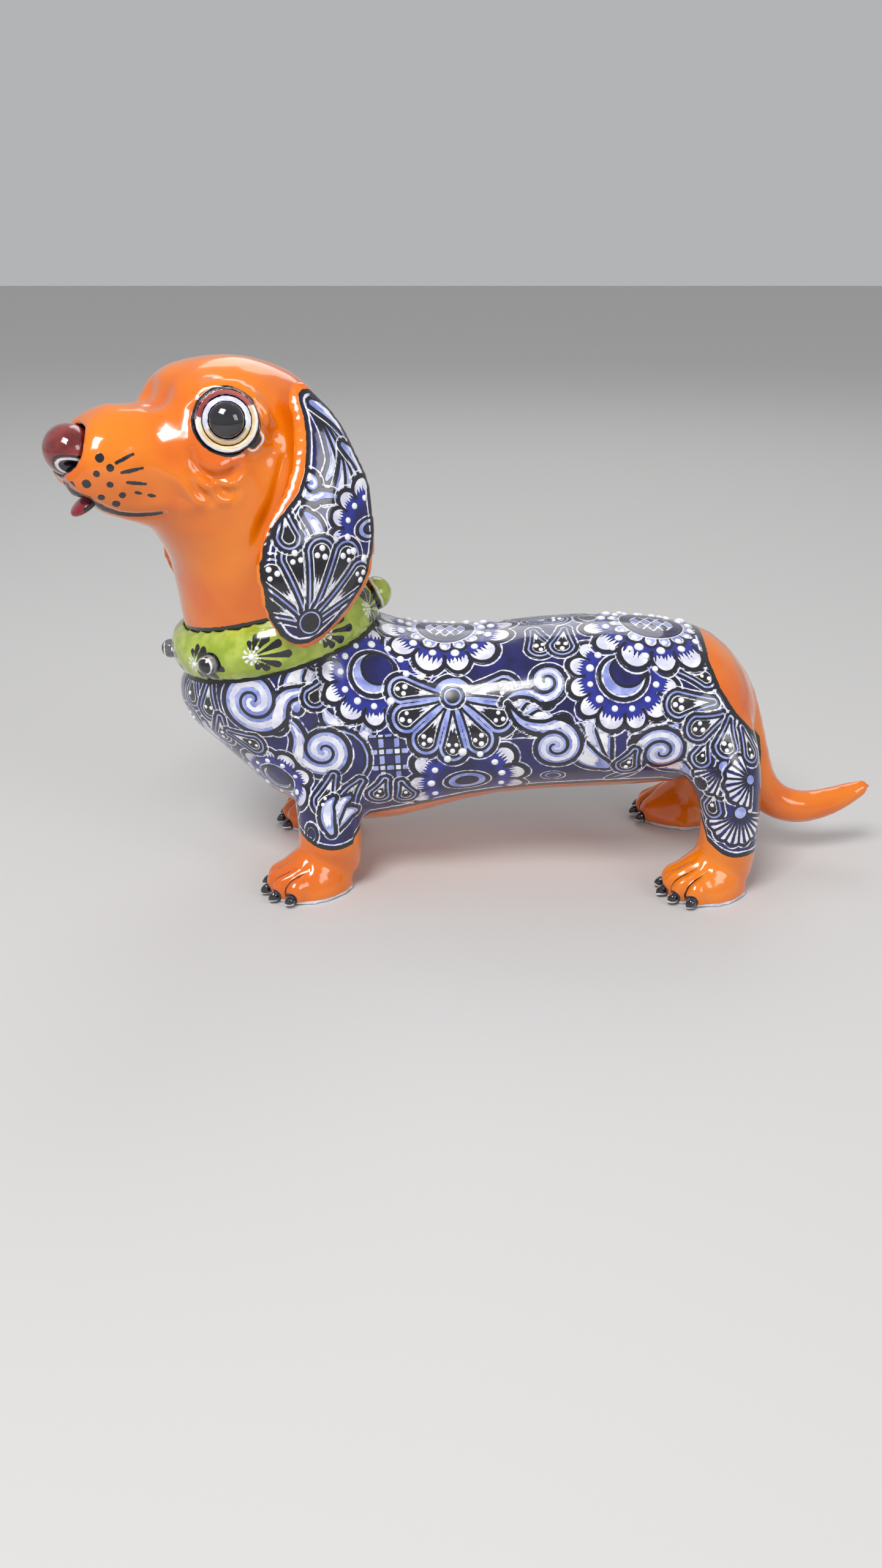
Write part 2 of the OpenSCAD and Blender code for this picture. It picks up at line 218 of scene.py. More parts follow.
def neighbour_mean(values: Array, edges: Array) -> Array:
    """Mean of each vertex's neighbours.

    Args:
        values: One row for each vertex.
        edges: Pairs of vertex numbers.

    Returns:
        The means, in the same form.
    """
    a, b = edges[:, 0], edges[:, 1]
    count = np.maximum(np.bincount(np.concatenate([a, b]), minlength=len(values)), 1)
    both = np.concatenate([a, b])
    other = np.concatenate([b, a])
    out = np.empty_like(values)
    for k in range(values.shape[1]):
        out[:, k] = np.bincount(both, values[other, k], minlength=len(values)) / count
    return out


def settle(mesh: bpy.types.Mesh, rounds: int, keep: Array | None = None) -> None:
    """Smooth a skin without shrinking it, as a damp sponge does.

    Args:
        mesh: The mesh.
        rounds: Number of passes.
        keep: How much of the smoothing each vertex takes, from 0 to 1.
    """
    points, edges = places(mesh), edges_of(mesh)
    share = 1.0 if keep is None else keep[:, None]
    for _ in range(rounds):
        for step in (0.5, -0.52):
            points += step * share * (neighbour_mean(points, edges) - points)
    set_places(mesh, points)


def outer_skin(mesh: bpy.types.Mesh, name: str) -> bpy.types.Mesh:
    """Keep only the skin of a mesh that reaches highest, which is its outer one.

    Args:
        mesh: The mesh, which is removed afterwards.
        name: Name of the new mesh.

    Returns:
        The mesh of that skin alone.
    """
    bm = bmesh.new()
    bm.from_mesh(mesh)
    bpy.data.meshes.remove(mesh)
    front = [max(bm.verts, key=lambda v: v.co.z)]
    found = set(front)
    while front:
        vert = front.pop()
        for edge in vert.link_edges:
            other = edge.other_vert(vert)
            if other not in found:
                found.add(other)
                front.append(other)
    stray = [v for v in bm.verts if v not in found]
    bmesh.ops.delete(bm, geom=stray, context="VERTS")
    return mesh_of(bm, name)


def smooth_step(x: Array, low: float, high: float) -> Array:
    """Rise smoothly from 0 at low to 1 at high."""
    t = np.clip((x - low) / (high - low), 0.0, 1.0)
    return t * t * (3.0 - 2.0 * t)


def distance_to_path(points: Array, path: Array) -> tuple[Array, Array]:
    """Distance from points to a line of straight stretches.

    Args:
        points: Places, one row each, in two or three dimensions.
        path: Corners of the line.

    Returns:
        The distances, and how far along the line the nearest place lies, from 0 to 1.
    """
    best = np.full(len(points), 1e9)
    along = np.zeros(len(points))
    lengths = np.linalg.norm(np.diff(path, axis=0), axis=1)
    starts = np.concatenate([[0.0], np.cumsum(lengths)])
    for i, length in enumerate(lengths):
        step = (path[i + 1] - path[i]) / max(length, 1e-9)
        t = np.clip((points - path[i]) @ step, 0.0, length)
        gap = np.linalg.norm(points - path[i] - t[:, None] * step, axis=1)
        nearer = gap < best
        best = np.where(nearer, gap, best)
        along = np.where(nearer, starts[i] + t, along)
    return best, along / max(starts[-1], 1e-9)


def curve_through(corners: Sequence[Sequence[float]], steps: int = 6) -> Array:
    """Smooth line through a few corners.

    Args:
        corners: The corners, in two or three dimensions.
        steps: Stretches between each two corners.

    Returns:
        Points of the line.
    """
    p = np.array(corners, float)
    padded = np.vstack([2 * p[0] - p[1], p, 2 * p[-1] - p[-2]])
    out = []
    for i in range(len(p) - 1):
        a, b, c, d = padded[i:i + 4]
        for t in np.linspace(0.0, 1.0, steps, endpoint=False):
            out.append(0.5 * (2 * b + (c - a) * t + (2 * a - 5 * b + 4 * c - d) * t**2
                              + (3 * b - a - 3 * c + d) * t**3))
    out.append(p[-1])
    return np.array(out)


# ---------------------------------------------------------------------------------------------
# Painting
# ---------------------------------------------------------------------------------------------

class Canvas:
    """Paint on a skin: for each pot, how far a place lies inside that paint, in millimetres."""

    BARE = -4.0

    def __init__(self, mesh: bpy.types.Mesh, seed: int) -> None:
        """Start with bare clay.

        Args:
            mesh: The mesh that is painted.
            seed: Seed of the painter's small irregularities.
        """
        self.mesh = mesh
        self.points = places(mesh)
        self.normals = normals(mesh)
        self.paint = {pot: np.full(len(self.points), self.BARE) for pot in Pot}
        self.dots: list[tuple[Array, Array, float]] = []
        self.hand = np.random.default_rng(seed)

    def brush(self, spot: Point, reach: float, turn: float = 0.0) -> "Brush":
        """Load a brush at a place on the clay.

        Args:
            spot: A place close to the surface.
            reach: How far the brush reaches from there.
            turn: Turn of the pattern, in degrees, from the rump's direction towards up.

        Returns:
            The brush, which lays the surface around the spot out flat.
        """
        gap = np.linalg.norm(self.points - np.array(spot), axis=1)
        centre = int(np.argmin(gap))
        origin, out = self.points[centre], self.normals[centre]
        back, up = np.array([1.0, 0.0, 0.0]), np.array([0.0, 0.0, 1.0])
        if abs(out[0]) <= abs(out[2]):
            across = back - out * (back @ out)
            across /= np.linalg.norm(across)
            rise = np.cross(out, across)
            rise *= 1.0 if rise @ (up + np.array([0.0, 0.01, 0.0])) >= 0 else -1.0
        else:
            rise = up - out * (up @ out)
            rise /= np.linalg.norm(rise)
            across = np.cross(rise, out)
            across *= 1.0 if across @ (back - 0.01 * out) >= 0 else -1.0
        offset = self.points - origin
        far = np.linalg.norm(offset, axis=1)
        near = np.where((far < reach) & (self.normals @ out > -0.25))[0]
        offset, far = offset[near], far[near]
        flat = offset - np.outer(offset @ out, out)
        stretch = far / np.maximum(np.linalg.norm(flat, axis=1), 1e-6)
        u, v = (flat @ across) * stretch, (flat @ rise) * stretch
        a = math.radians(turn)
        return Brush(self, near, u * math.cos(a) + v * math.sin(a), v * math.cos(a) - u * math.sin(a))

    def store(self) -> None:
        """Write the paint onto the mesh as two attributes."""
        groups = {"paint_low": (Pot.PALE, Pot.WHITE, Pot.ROYAL),
                  "paint_high": (Pot.INK, Pot.LINE, Pot.ORANGE)}
        for name, pots in groups.items():
            layer = self.mesh.attributes.new(name, "FLOAT_VECTOR", "POINT")
            values = np.stack([self.paint[pot] for pot in pots], axis=1)
            layer.data.foreach_set("vector", values.astype(np.float32).ravel())


class Brush:
    """A stretch of the surface laid out flat, with the strokes that a painter makes there."""

    def __init__(self, canvas: Canvas, near: Array, u: Array, v: Array) -> None:
        """Take hold of a stretch of a canvas.

        Args:
            canvas: The canvas.
            near: Numbers of the vertices that the brush reaches.
            u: Their places across.
            v: Their places upwards.
        """
        self.canvas, self.near, self.u, self.v = canvas, near, u, v

    def at(self, u: float, v: float, turn: float = 0.0) -> "Brush":
        """The same stretch seen from another place and turned by some degrees."""
        a = math.radians(turn)
        x, y = self.u - u, self.v - v
        return Brush(self.canvas, self.near, x * math.cos(a) + y * math.sin(a),
                     y * math.cos(a) - x * math.sin(a))

    @property
    def radius(self) -> Array:
        """Distance from the brush's middle."""
        return np.hypot(self.u, self.v)

    @property
    def angle(self) -> Array:
        """Angle around the brush's middle, in radians."""
        return np.arctan2(self.v, self.u)

    @property
    def flat(self) -> Array:
        """Places as rows of two."""
        return np.stack([self.u, self.v], axis=1)

    def lay(self, pot: Pot | None, inside: Array) -> None:
        """Cover an area with one paint.

        Args:
            pot: The paint, or None for the ground colour.
            inside: How far each place lies inside the area.
        """
        for other, field in self.canvas.paint.items():
            if other is not Pot.ORANGE:
                field[self.near] = np.minimum(field[self.near], -inside)
        if pot is not None:
            field = self.canvas.paint[pot]
            field[self.near] = np.maximum(field[self.near], inside)

    def wash(self, pot: Pot, inside: Array) -> None:
        """Let one paint shine through without covering the others."""
        field = self.canvas.paint[pot]
        field[self.near] = np.maximum(field[self.near], inside)

    def outline(self, inside: Array, width: float = 1.15, halo: float = 1.25) -> None:
        """Draw an ink line around an area, with a thin white line outside it.

        Args:
            inside: How far each place lies inside the area.
            width: Width of the ink line.
            halo: Distance of the white line from the ink line's middle, or 0 for none.
        """
        if halo:
            self.lay(Pot.LINE, 0.19 - np.abs(inside + halo))
        self.lay(Pot.INK, width / 2 - np.abs(inside))

    def dot(self, u: float, v: float, size: float = 1.25) -> None:
        """Set one raised dot of white slip.

        Args:
            u: Its place across.
            v: Its place upwards.
            size: Its radius.
        """
        gap = np.hypot(self.u - u, self.v - v)
        if len(gap) and gap.min() < 1.0:
            k = self.near[int(np.argmin(gap))]
            wobble = self.canvas.hand.uniform(0.82, 1.15)
            self.canvas.dots.append((self.canvas.points[k], self.canvas.normals[k], size * wobble))

    def comb(self, across: Array, pitch: float, phase: float) -> Array:
        """Uneven teeth, like the streaks that a dry brush leaves.

        Args:
            across: Distance across the streaks.
            pitch: Distance from one streak to the next.
            phase: Shift of the streaks.

        Returns:
            Height of the teeth at each place, from 0 to 1.
        """
        t = across / pitch + phase
        teeth = np.abs((t % 1.0) - 0.5) * 2.0
        uneven = 0.72 + 0.28 * np.sin(2.3 * np.floor(t) + 5.0 * phase)
        return teeth * uneven


def petal_ring(brush: Brush, count: int, middle: float, reach: float, phase: float
               ) -> tuple[Array, Array, Array]:
    """Round petals side by side around a middle.

    Args:
        brush: The brush, at the flower's middle.
        count: Number of petals.
        middle: Radius on which the petals' middles lie.
        reach: How far a petal reaches beyond that radius.
        phase: Turn of the ring, in radians.

    Returns:
        How far each place is inside the flower, its distance to the nearest join between two
        petals, and its distance across its own petal.
    """
    r = brush.radius
    uneven = 0.05 * np.sin(2 * brush.angle + phase) + 0.03 * np.sin(5 * brush.angle + 2 * phase)
    sector = (brush.angle + uneven + phase) * count / (2 * math.pi)
    number = np.floor(sector)
    a = (sector - number - 0.5) * 2 * math.pi / count
    x, y = r * np.cos(a), r * np.sin(a)
    half = middle * math.tan(math.pi / count) * 1.04
    size = reach * (1.0 + 0.07 * np.sin(2.4 * number + phase))
    petal = (1.0 - np.hypot((x - middle) / size, y / half)) * min(half, reach)
    join = r * np.sin(np.maximum(math.pi / count - np.abs(a), 0.0))
    return np.maximum(petal, middle * 0.97 - r), join, y


@dataclass(frozen=True)
class Flower:
    """Round flower with striped petal tips, a ring of dots and a drawn heart."""

    spot: Point
    radius: float
    heart: Heart
    petals: int = 11
    phase: float = 0.3

    def paint(self, canvas: Canvas) -> None:
        """Paint the flower where its spot is."""
        self.draw(canvas.brush(self.spot, self.radius * 1.25))

    def draw(self, b: Brush) -> None:
        """Paint the flower around the middle of a brush."""
        big = self.radius
        inside, join, across = petal_ring(b, self.petals, 0.76 * big, 0.24 * big, self.phase)
        r = b.radius
        b.lay(None, inside)
        b.wash(Pot.ROYAL, 2.2 - np.abs(r - 0.66 * big))
        pitch = 0.76 * big * 2 * math.pi / self.petals / 6.5
        teeth = b.comb(across, pitch, self.phase)
        tips = np.minimum(inside - 0.5, r - big * (0.71 + 0.17 * teeth))
        b.lay(Pot.WHITE, tips)
        b.outline(inside)
        b.lay(Pot.INK, np.minimum(0.5 - join, np.minimum(inside, r - 0.66 * big)))
        for k in range(self.petals):
            a = (k + 0.5) * 2 * math.pi / self.petals - self.phase
            ring = 0.66 if self.heart is Heart.NET else 0.60
            b.dot(ring * big * math.cos(a), ring * big * math.sin(a), 0.055 * big + 0.25)
        if self.heart is Heart.NET:
            self.net(b)
        elif self.heart is Heart.CRESCENT:
            self.crescent(b)
        else:
            self.oval(b)

    def net(self, b: Brush) -> None:
        """Scalloped collar of pale lobes around a netted disc."""
        big = self.radius
        lobes = self.petals + 2
        inside, join, _ = petal_ring(b, lobes, 0.48 * big, 0.13 * big, self.phase + 0.4)
        r = b.radius
        b.lay(Pot.PALE, inside)
        b.lay(Pot.LINE, 0.22 - np.abs(inside - 0.75))
        b.outline(inside, 0.8, 0.0)
        b.lay(Pot.INK, np.minimum(0.36 - join, np.minimum(inside, r - 0.42 * big)))
        for k in range(lobes):
            a = (k + 0.5) * 2 * math.pi / lobes - self.phase - 0.4
            b.dot(0.52 * big * math.cos(a), 0.52 * big * math.sin(a), 0.042 * big + 0.2)
        disc = 0.43 * big - r
        b.lay(Pot.INK, disc)
        b.lay(None, 0.035 * big - np.abs(r - 0.355 * big))
        b.lay(Pot.LINE, 0.24 - np.abs(r - 0.43 * big))
        mesh_pitch = 0.15 * big
        p, q = (b.u + 0.6 * b.v) / mesh_pitch, (b.u - 0.6 * b.v) / mesh_pitch
        threads = np.minimum(np.abs(p - np.round(p)), np.abs(q - np.round(q))) * mesh_pitch
        bed = 0.29 * big - np.hypot(b.u, 1.15 * b.v)
        b.lay(None, bed)
        odd = np.where((np.floor(p) + 2 * np.floor(q)) % 3 == 0, 1.0, -1.0)
        b.lay(Pot.PALE, np.minimum(np.minimum(bed, threads - 0.45), odd))
        b.lay(Pot.LINE, np.minimum(bed, 0.3 - threads))

    def crescent(self, b: Brush) -> None:
        """Pale crescent around a dark disc."""
        big = self.radius
        disc = 0.42 * big - b.radius
        b.lay(Pot.PALE, disc)
        b.lay(Pot.LINE, 0.24 - np.abs(disc - 0.9))
        b.outline(disc, 1.0, 1.1)
        moon = 0.30 * big - np.hypot(b.u - 0.08 * big, b.v - 0.10 * big)
        b.lay(None, np.minimum(moon, disc))
        b.lay(Pot.INK, np.minimum(0.45 - np.abs(moon), disc))

    def oval(self, b: Brush) -> None:
        """Two pale ovals, one in the other, around an ink spot."""
        big = self.radius
        gap = np.hypot(b.u, 1.7 * b.v)
        disc = (0.34 * big - gap) / 1.3
        b.lay(Pot.PALE, disc)
        b.outline(disc, 0.8, 1.0)
        b.lay(Pot.INK, (0.20 * big - gap) / 1.3)
        b.lay(None, (0.10 * big - gap) / 1.3)


def teardrop(b: Brush, start: Flat, end: Flat, size: float) -> tuple[Array, Array]:
    """Drop with a pointed start and a round end.

    Args:
        b: The brush.
        start: The pointed end.
        end: Middle of the round end.
        size: Radius of the round end.

    Returns:
        How far each place is inside the drop, and its share of the way from start to end.
    """
    a, z = np.array(start), np.array(end)
    along = z - a
    t = np.clip(((b.flat - a) @ along) / (along @ along), 0.0, 1.0)
    gap = np.linalg.norm(b.flat - a - t[:, None] * along, axis=1)
    return 0.25 + (size - 0.25) * t**1.3 - gap, t


def dark_drop(b: Brush, start: Flat, end: Flat, size: float, dots: int = 3,
              rim: float = 1.5) -> None:
    """Drop with a dark round end, white streaks at its point and a few raised dots.

    Args:
        b: The brush.
        start: The pointed end.
        end: Middle of the round end.
        size: Radius of the round end.
        dots: Number of dots.
        rim: Width of the pale rim around it.
    """
    inside, t = teardrop(b, start, end, size)
    if rim:
        b.lay(Pot.PALE, inside + rim)
        b.outline(inside + rim, 0.9, 1.0)
    b.lay(None, inside)
    b.lay(Pot.INK, np.minimum(inside, (t - 0.55) * size * 2))
    along = np.array(end) - np.array(start)
    unit = along / np.linalg.norm(along)
    across = (b.flat - np.array(start)) @ np.array([-unit[1], unit[0]])
    b.lay(Pot.WHITE, np.minimum(inside - 0.35, 3.0 * (0.48 + 0.22 * b.comb(across, 1.1, 0.2) - t)))
    b.lay(Pot.LINE, 0.2 - np.abs(inside - 0.7))
    b.outline(inside, 0.75, 0.0)
    for k in range(dots):
        a = math.pi * 2 * k / max(dots, 1) + math.atan2(unit[1], unit[0])
        d = 0.42 * size if dots > 1 else 0.0
        b.dot(end[0] + d * math.cos(a), end[1] + d * math.sin(a), 0.26 * size)


@dataclass(frozen=True)
class Fan:
    """Teardrops that spread from a small round middle."""

    spot: Point
    length: float
    first: float
    last: float
    drops: int
    size: float
    turn: float = 0.0

    def paint(self, canvas: Canvas) -> None:
        """Paint the fan where its spot is."""
        self.draw(canvas.brush(self.spot, self.length * 1.3, self.turn))

    def draw(self, b: Brush) -> None:
        """Paint the fan around the middle of a brush."""
        inner = 0.2 * self.length
        reach = self.length - self.size
        drops = []
        for a in np.radians(np.linspace(self.first, self.last, self.drops)):
            way = (math.cos(a), math.sin(a))
            drops.append(((inner * way[0], inner * way[1]), (reach * way[0], reach * way[1])))
        whole = np.full(len(b.u), -9.0)
        for start, end in drops:
            whole = np.maximum(whole, teardrop(b, start, end, self.size)[0])
        whole = np.maximum(whole, 0.25 * self.length - b.radius)
        b.lay(Pot.PALE, whole + 1.9)
        b.outline(whole + 1.9, 1.1, 1.2)
        for start, end in drops:
            dark_drop(b, start, end, self.size, 3, 0.0)
        hub = 0.17 * self.length - b.radius
        b.lay(Pot.PALE, hub)
        b.outline(hub, 0.8, 0.9)
        b.lay(Pot.INK, hub - 1.1)


@dataclass(frozen=True)
class Scroll:
    """Snail-shaped scroll of watery white with an ink spiral and a leaf tail."""

    spot: Point
    radius: float
    turn: float = 0.0
    rounds: float = 1.6
    tail: float = 1.2
    swing: int = 1

    def paint(self, canvas: Canvas) -> None:
        """Paint the scroll where its spot is."""
        self.draw(canvas.brush(self.spot, self.radius * (2.0 + self.tail), self.turn))

    def draw(self, brush: Brush) -> None:
        """Paint the scroll around the middle of a brush."""
        b = Brush(brush.canvas, brush.near, brush.u, brush.v * self.swing)
        big, pitch = self.radius, self.radius / self.rounds
        share = (b.angle / (2 * math.pi)) % 1.0
        r = b.radius
        laps = np.clip(np.round(r / pitch - share), 0, math.floor(self.rounds))
        laps = np.where(laps + share > self.rounds, laps - 1, laps)
        to_line = np.abs(r - pitch * (share + np.maximum(laps, 0)))
        edge = pitch * (share + np.floor(self.rounds - share))
        disc = edge - r
        end = (self.rounds % 1.0) * 2 * math.pi
        tip = np.array([big * math.cos(end), big * math.sin(end)])
        way = np.array([-math.sin(end), math.cos(end)])
        out = np.array([math.cos(end), math.sin(end)])
        bend = tip - 0.45 * pitch * out
        path = curve_through([bend - 0.3 * big * way, bend + 0.35 * big * way - 0.1 * big * out,
                              bend + self.tail * 0.7 * big * way + 0.15 * big * out,
                              bend + self.tail * big * way + 0.75 * big * out])
        gap, t = distance_to_path(b.flat, path)
        leaf = 0.55 * pitch * (1.0 - t) ** 0.6 + 0.1 - gap
        shape = np.maximum(disc, leaf)
        b.lay(Pot.PALE, shape)
        b.lay(Pot.WHITE, np.minimum(shape - 1.0, 0.13 * pitch - np.abs(to_line - 0.45 * pitch)))
        b.lay(Pot.WHITE, leaf - 1.5)
        b.outline(shape, 1.15, 1.25)
        inner = np.minimum(shape, r - 0.12 * pitch)
        b.lay(Pot.INK, np.minimum(inner, 0.36 + 0.4 * r / big - to_line))


@dataclass(frozen=True)
class Plume:
    """Feather of curved strokes that grow from one foot."""

    spot: Point
    length: float
    turn: float
    strokes: int = 4
    spread: float = 60.0
    bend: float = 0.35
    width: float = 2.6

    def paint(self, canvas: Canvas) -> None:
        """Paint the plume where its spot is."""
        self.draw(canvas.brush(self.spot, self.length * 1.25, self.turn))

    def draw(self, b: Brush) -> None:
        """Paint the plume from the middle of a brush towards its right."""
        for k in range(self.strokes):
            share = k / max(self.strokes - 1, 1) - 0.5
            a = math.radians(self.spread * share)
            long = self.length * (1.0 - 0.25 * abs(share))
            end = np.array([math.cos(a), math.sin(a)]) * long
            side = np.array([-end[1], end[0]]) * self.bend
            path = curve_through([(0.0, 0.0), 0.35 * end + 0.55 * side, 0.75 * end + 0.6 * side, end])
            gap, t = distance_to_path(b.flat, path)
            body = 0.3 + self.width * np.sin(math.pi * np.clip(0.12 + 0.8 * t, 0, 1)) ** 0.8 - gap
            b.lay(Pot.PALE, body)
            b.lay(Pot.WHITE, np.minimum(body - 1.25, 3.0 * (t - 0.2)))
            b.outline(body, 1.0, 1.1 if k in (0, self.strokes - 1) else 0.0)


@dataclass(frozen=True)
class Drop:
    """One teardrop with dots."""

    spot: Point
    length: float
    size: float
    turn: float
    dots: int = 3

    def paint(self, canvas: Canvas) -> None:
        """Paint the drop where its spot is, its round end towards its right."""
        b = canvas.brush(self.spot, self.length * 1.3, self.turn)
        half = self.length / 2
        dark_drop(b, (-half, 0.0), (half - self.size, 0.0), self.size, self.dots)


@dataclass(frozen=True)
class Crescent:
    """Dark half moon with a pale rim."""

    spot: Point
    radius: float
    turn: float
    width: float = 2.4

    def paint(self, canvas: Canvas) -> None:
        """Paint the half moon where its spot is."""
        b = canvas.brush(self.spot, self.radius * 2.2, self.turn)
        steps = np.linspace(-1.2, 1.2, 9)
        path = np.stack([self.radius * (np.cos(steps) - 1.0), self.radius * np.sin(steps)], axis=1)
        gap, t = distance_to_path(b.flat, path)
        body = self.width * np.sin(math.pi * (0.1 + 0.8 * t)) - gap
        b.lay(Pot.PALE, body + 1.6)
        b.outline(body + 1.6, 1.0, 1.1)
        b.lay(None, body)
        b.lay(Pot.INK, 0.4 - np.abs(body))


@dataclass(frozen=True)
class Plaid:
    """Small checked patch."""

    spot: Point
    wide: float
    high: float
    turn: float = 0.0

    def paint(self, canvas: Canvas) -> None:
        """Paint the patch where its spot is."""
        b = canvas.brush(self.spot, max(self.wide, self.high), self.turn)
        box = np.minimum(self.wide / 2 - np.abs(b.u), self.high / 2 - np.abs(b.v))
        b.lay(None, box)
        off_stripe = [np.abs((axis / pitch) % 1.0 - 0.5) * pitch
                      for axis, pitch in ((b.u, self.wide / 2.6), (b.v, self.high / 3.0))]
        for off in off_stripe:
            b.lay(Pot.PALE, np.minimum(box, 0.9 - off))
        b.lay(Pot.WHITE, np.minimum(box, 0.8 - np.maximum(*off_stripe)))
        for off in off_stripe:
            b.lay(Pot.INK, np.minimum(box, 0.28 - np.abs(off - 1.1)))


@dataclass(frozen=True)
class Rosette:
    """Half-open rosette of straight white and blue rays."""

    spot: Point
    radius: float
    first: float
    last: float
    rays: int
    turn: float = 0.0

    def paint(self, canvas: Canvas) -> None:
        """Paint the rosette where its spot is."""
        b = canvas.brush(self.spot, self.radius * 1.3, self.turn)
        span = math.radians(self.last - self.first)
        a = (b.angle - math.radians(self.first)) % (2 * math.pi)
        number = a / span * self.rays
        own = number - np.floor(number) - 0.5
        r = b.radius
        lobe = self.radius * (0.92 + 0.08 * np.cos(own * math.pi)) - r
        sides = r * np.sin(np.clip(np.minimum(a, span - a), -1.5, 1.5))
        inside = np.minimum(lobe, sides)
        b.lay(Pot.WHITE, inside)
        stripe = np.abs(own) * r * span / self.rays
        b.lay(None, np.minimum(inside - 0.5, 0.45 - stripe * (1.2 - 0.5 * r / self.radius)))
        join = (0.5 - np.abs(own)) * r * span / self.rays
        b.lay(Pot.INK, np.minimum(inside, 0.38 - join))
        b.outline(inside, 0.9, 1.0)
        hub = 0.2 * self.radius - r
        b.lay(Pot.PALE, hub)
        b.outline(hub, 0.7, 0.0)


@dataclass(frozen=True)
class Ring:
    """Small pale ring around a dark middle."""

    spot: Point
    radius: float
    flatten: float = 1.0

    def paint(self, canvas: Canvas) -> None:
        """Paint the ring where its spot is."""
        b = canvas.brush(self.spot, self.radius * 2.5)
        disc = self.radius - np.hypot(b.u, b.v * self.flatten)
        b.lay(Pot.PALE, disc)
        b.outline(disc, 0.8, 0.9)
        b.lay(None, disc - 0.45 * self.radius)
        b.lay(Pot.INK, 0.3 - np.abs(disc - 0.45 * self.radius))


Motif = Flower | Fan | Scroll | Plume | Drop | Crescent | Plaid | Rosette | Ring


# ---------------------------------------------------------------------------------------------
# Finishes
# ---------------------------------------------------------------------------------------------

Colour = tuple[float, float, float]


@dataclass(frozen=True)
class Graph:
    """Short hand for building a material's nodes."""

    tree: bpy.types.NodeTree

    def add(self, kind: str, **settings: object) -> bpy.types.Node:
        """Add a node and set its properties and unlinked inputs.

        Args:
            kind: Type of the node.
            settings: Properties, and inputs whose name starts with in_.

        Returns:
            The node.
        """
        node = self.tree.nodes.new(kind)
        for key, value in settings.items():
            if key.startswith("in_"):
                name = key[3:]
                socket = node.inputs[int(name) if name.isdigit() else name]
                if isinstance(value, bpy.types.NodeSocket):
                    self.tree.links.new(value, socket)
                else:
                    socket.default_value = value
            else:
                setattr(node, key, value)
        return node

    def maths(self, operation: str, *values: object) -> bpy.types.NodeSocket:
        """Combine numbers or sockets with one operation."""
        node = self.add("ShaderNodeMath", operation=operation,
                        **{f"in_{k}": value for k, value in enumerate(values)})
        return node.outputs[0]

    def step(self, value: object, low: float, high: float) -> bpy.types.NodeSocket:
        """Rise smoothly from 0 at low to 1 at high."""
        node = self.add("ShaderNodeMapRange", interpolation_type="SMOOTHSTEP", in_0=value,
                        in_1=low, in_2=high)
        return node.outputs[0]

    def blend(self, share: object, a: object, b: object) -> bpy.types.NodeSocket:
        """Mix two colours."""
        node = self.add("ShaderNodeMix", data_type="RGBA", in_0=share, in_6=a, in_7=b)
        return node.outputs[2]

    def noise(self, where: object, scale: float, detail: float = 2.0) -> bpy.types.NodeSocket:
        """Smooth random values from 0 to 1."""
        node = self.add("ShaderNodeTexNoise", in_Vector=where, in_Scale=scale, in_Detail=detail)
        return node.outputs[0]


def rgba(colour: Colour) -> tuple[float, float, float, float]:
    """The same colour with full cover."""
    return (*colour, 1.0)


@dataclass(frozen=True)
class Glaze:
    """Glossy fired glaze with slow drifts of colour and a faint ripple."""

    name: str
    deep: Colour
    light: Colour
    roughness: float = 0.16
    coat: float = 0.7
    ripple: float = 0.06

    def shader(self, graph: Graph, colour: object, relief: object | None = None) -> None:
        """Finish a material from its colour.

        Args:
            graph: The material's graph.
            colour: Socket of the base colour.
            relief: Socket of a height, in millimetres, or None.
        """
        where = graph.add("ShaderNodeTexCoord").outputs["Object"]
        height = graph.maths("MULTIPLY", graph.noise(where, 95.0, 1.0), self.ripple * 6.0)
        if relief is not None:
            height = graph.maths("ADD", height, relief)
        bump = graph.add("ShaderNodeBump", in_Strength=1.0, in_Distance=MM, in_Height=height)
        rough = graph.maths("ADD", graph.maths("MULTIPLY", graph.noise(where, 60.0), 0.12),
                            self.roughness - 0.06)
        shader = graph.add("ShaderNodeBsdfPrincipled", in_Roughness=rough)
        graph.tree.links.new(colour, shader.inputs["Base Color"])
        graph.tree.links.new(bump.outputs[0], shader.inputs["Normal"])
        shader.inputs["IOR"].default_value = 1.52
        shader.inputs["Coat Weight"].default_value = self.coat
        shader.inputs["Coat Roughness"].default_value = 0.04
        output = graph.add("ShaderNodeOutputMaterial")
        graph.tree.links.new(shader.outputs[0], output.inputs[0])

    def drift(self, graph: Graph, scale: float = 45.0) -> bpy.types.NodeSocket:
        """Colour that drifts slowly between deep and light."""
        where = graph.add("ShaderNodeTexCoord").outputs["Object"]
        share = graph.step(graph.noise(where, scale, 3.0), 0.35, 0.68)
        return graph.blend(share, rgba(self.deep), rgba(self.light))

    def start(self) -> tuple[bpy.types.Material, Graph]:
        """Open an empty material with the glaze's name."""
        material = bpy.data.materials.new(self.name)
        material.use_nodes = True
        material.node_tree.nodes.clear()
        return material, Graph(material.node_tree)

    def make(self) -> bpy.types.Material:
        """Build the plain glaze."""
        material, graph = self.start()
        self.shader(graph, self.drift(graph))
        return material


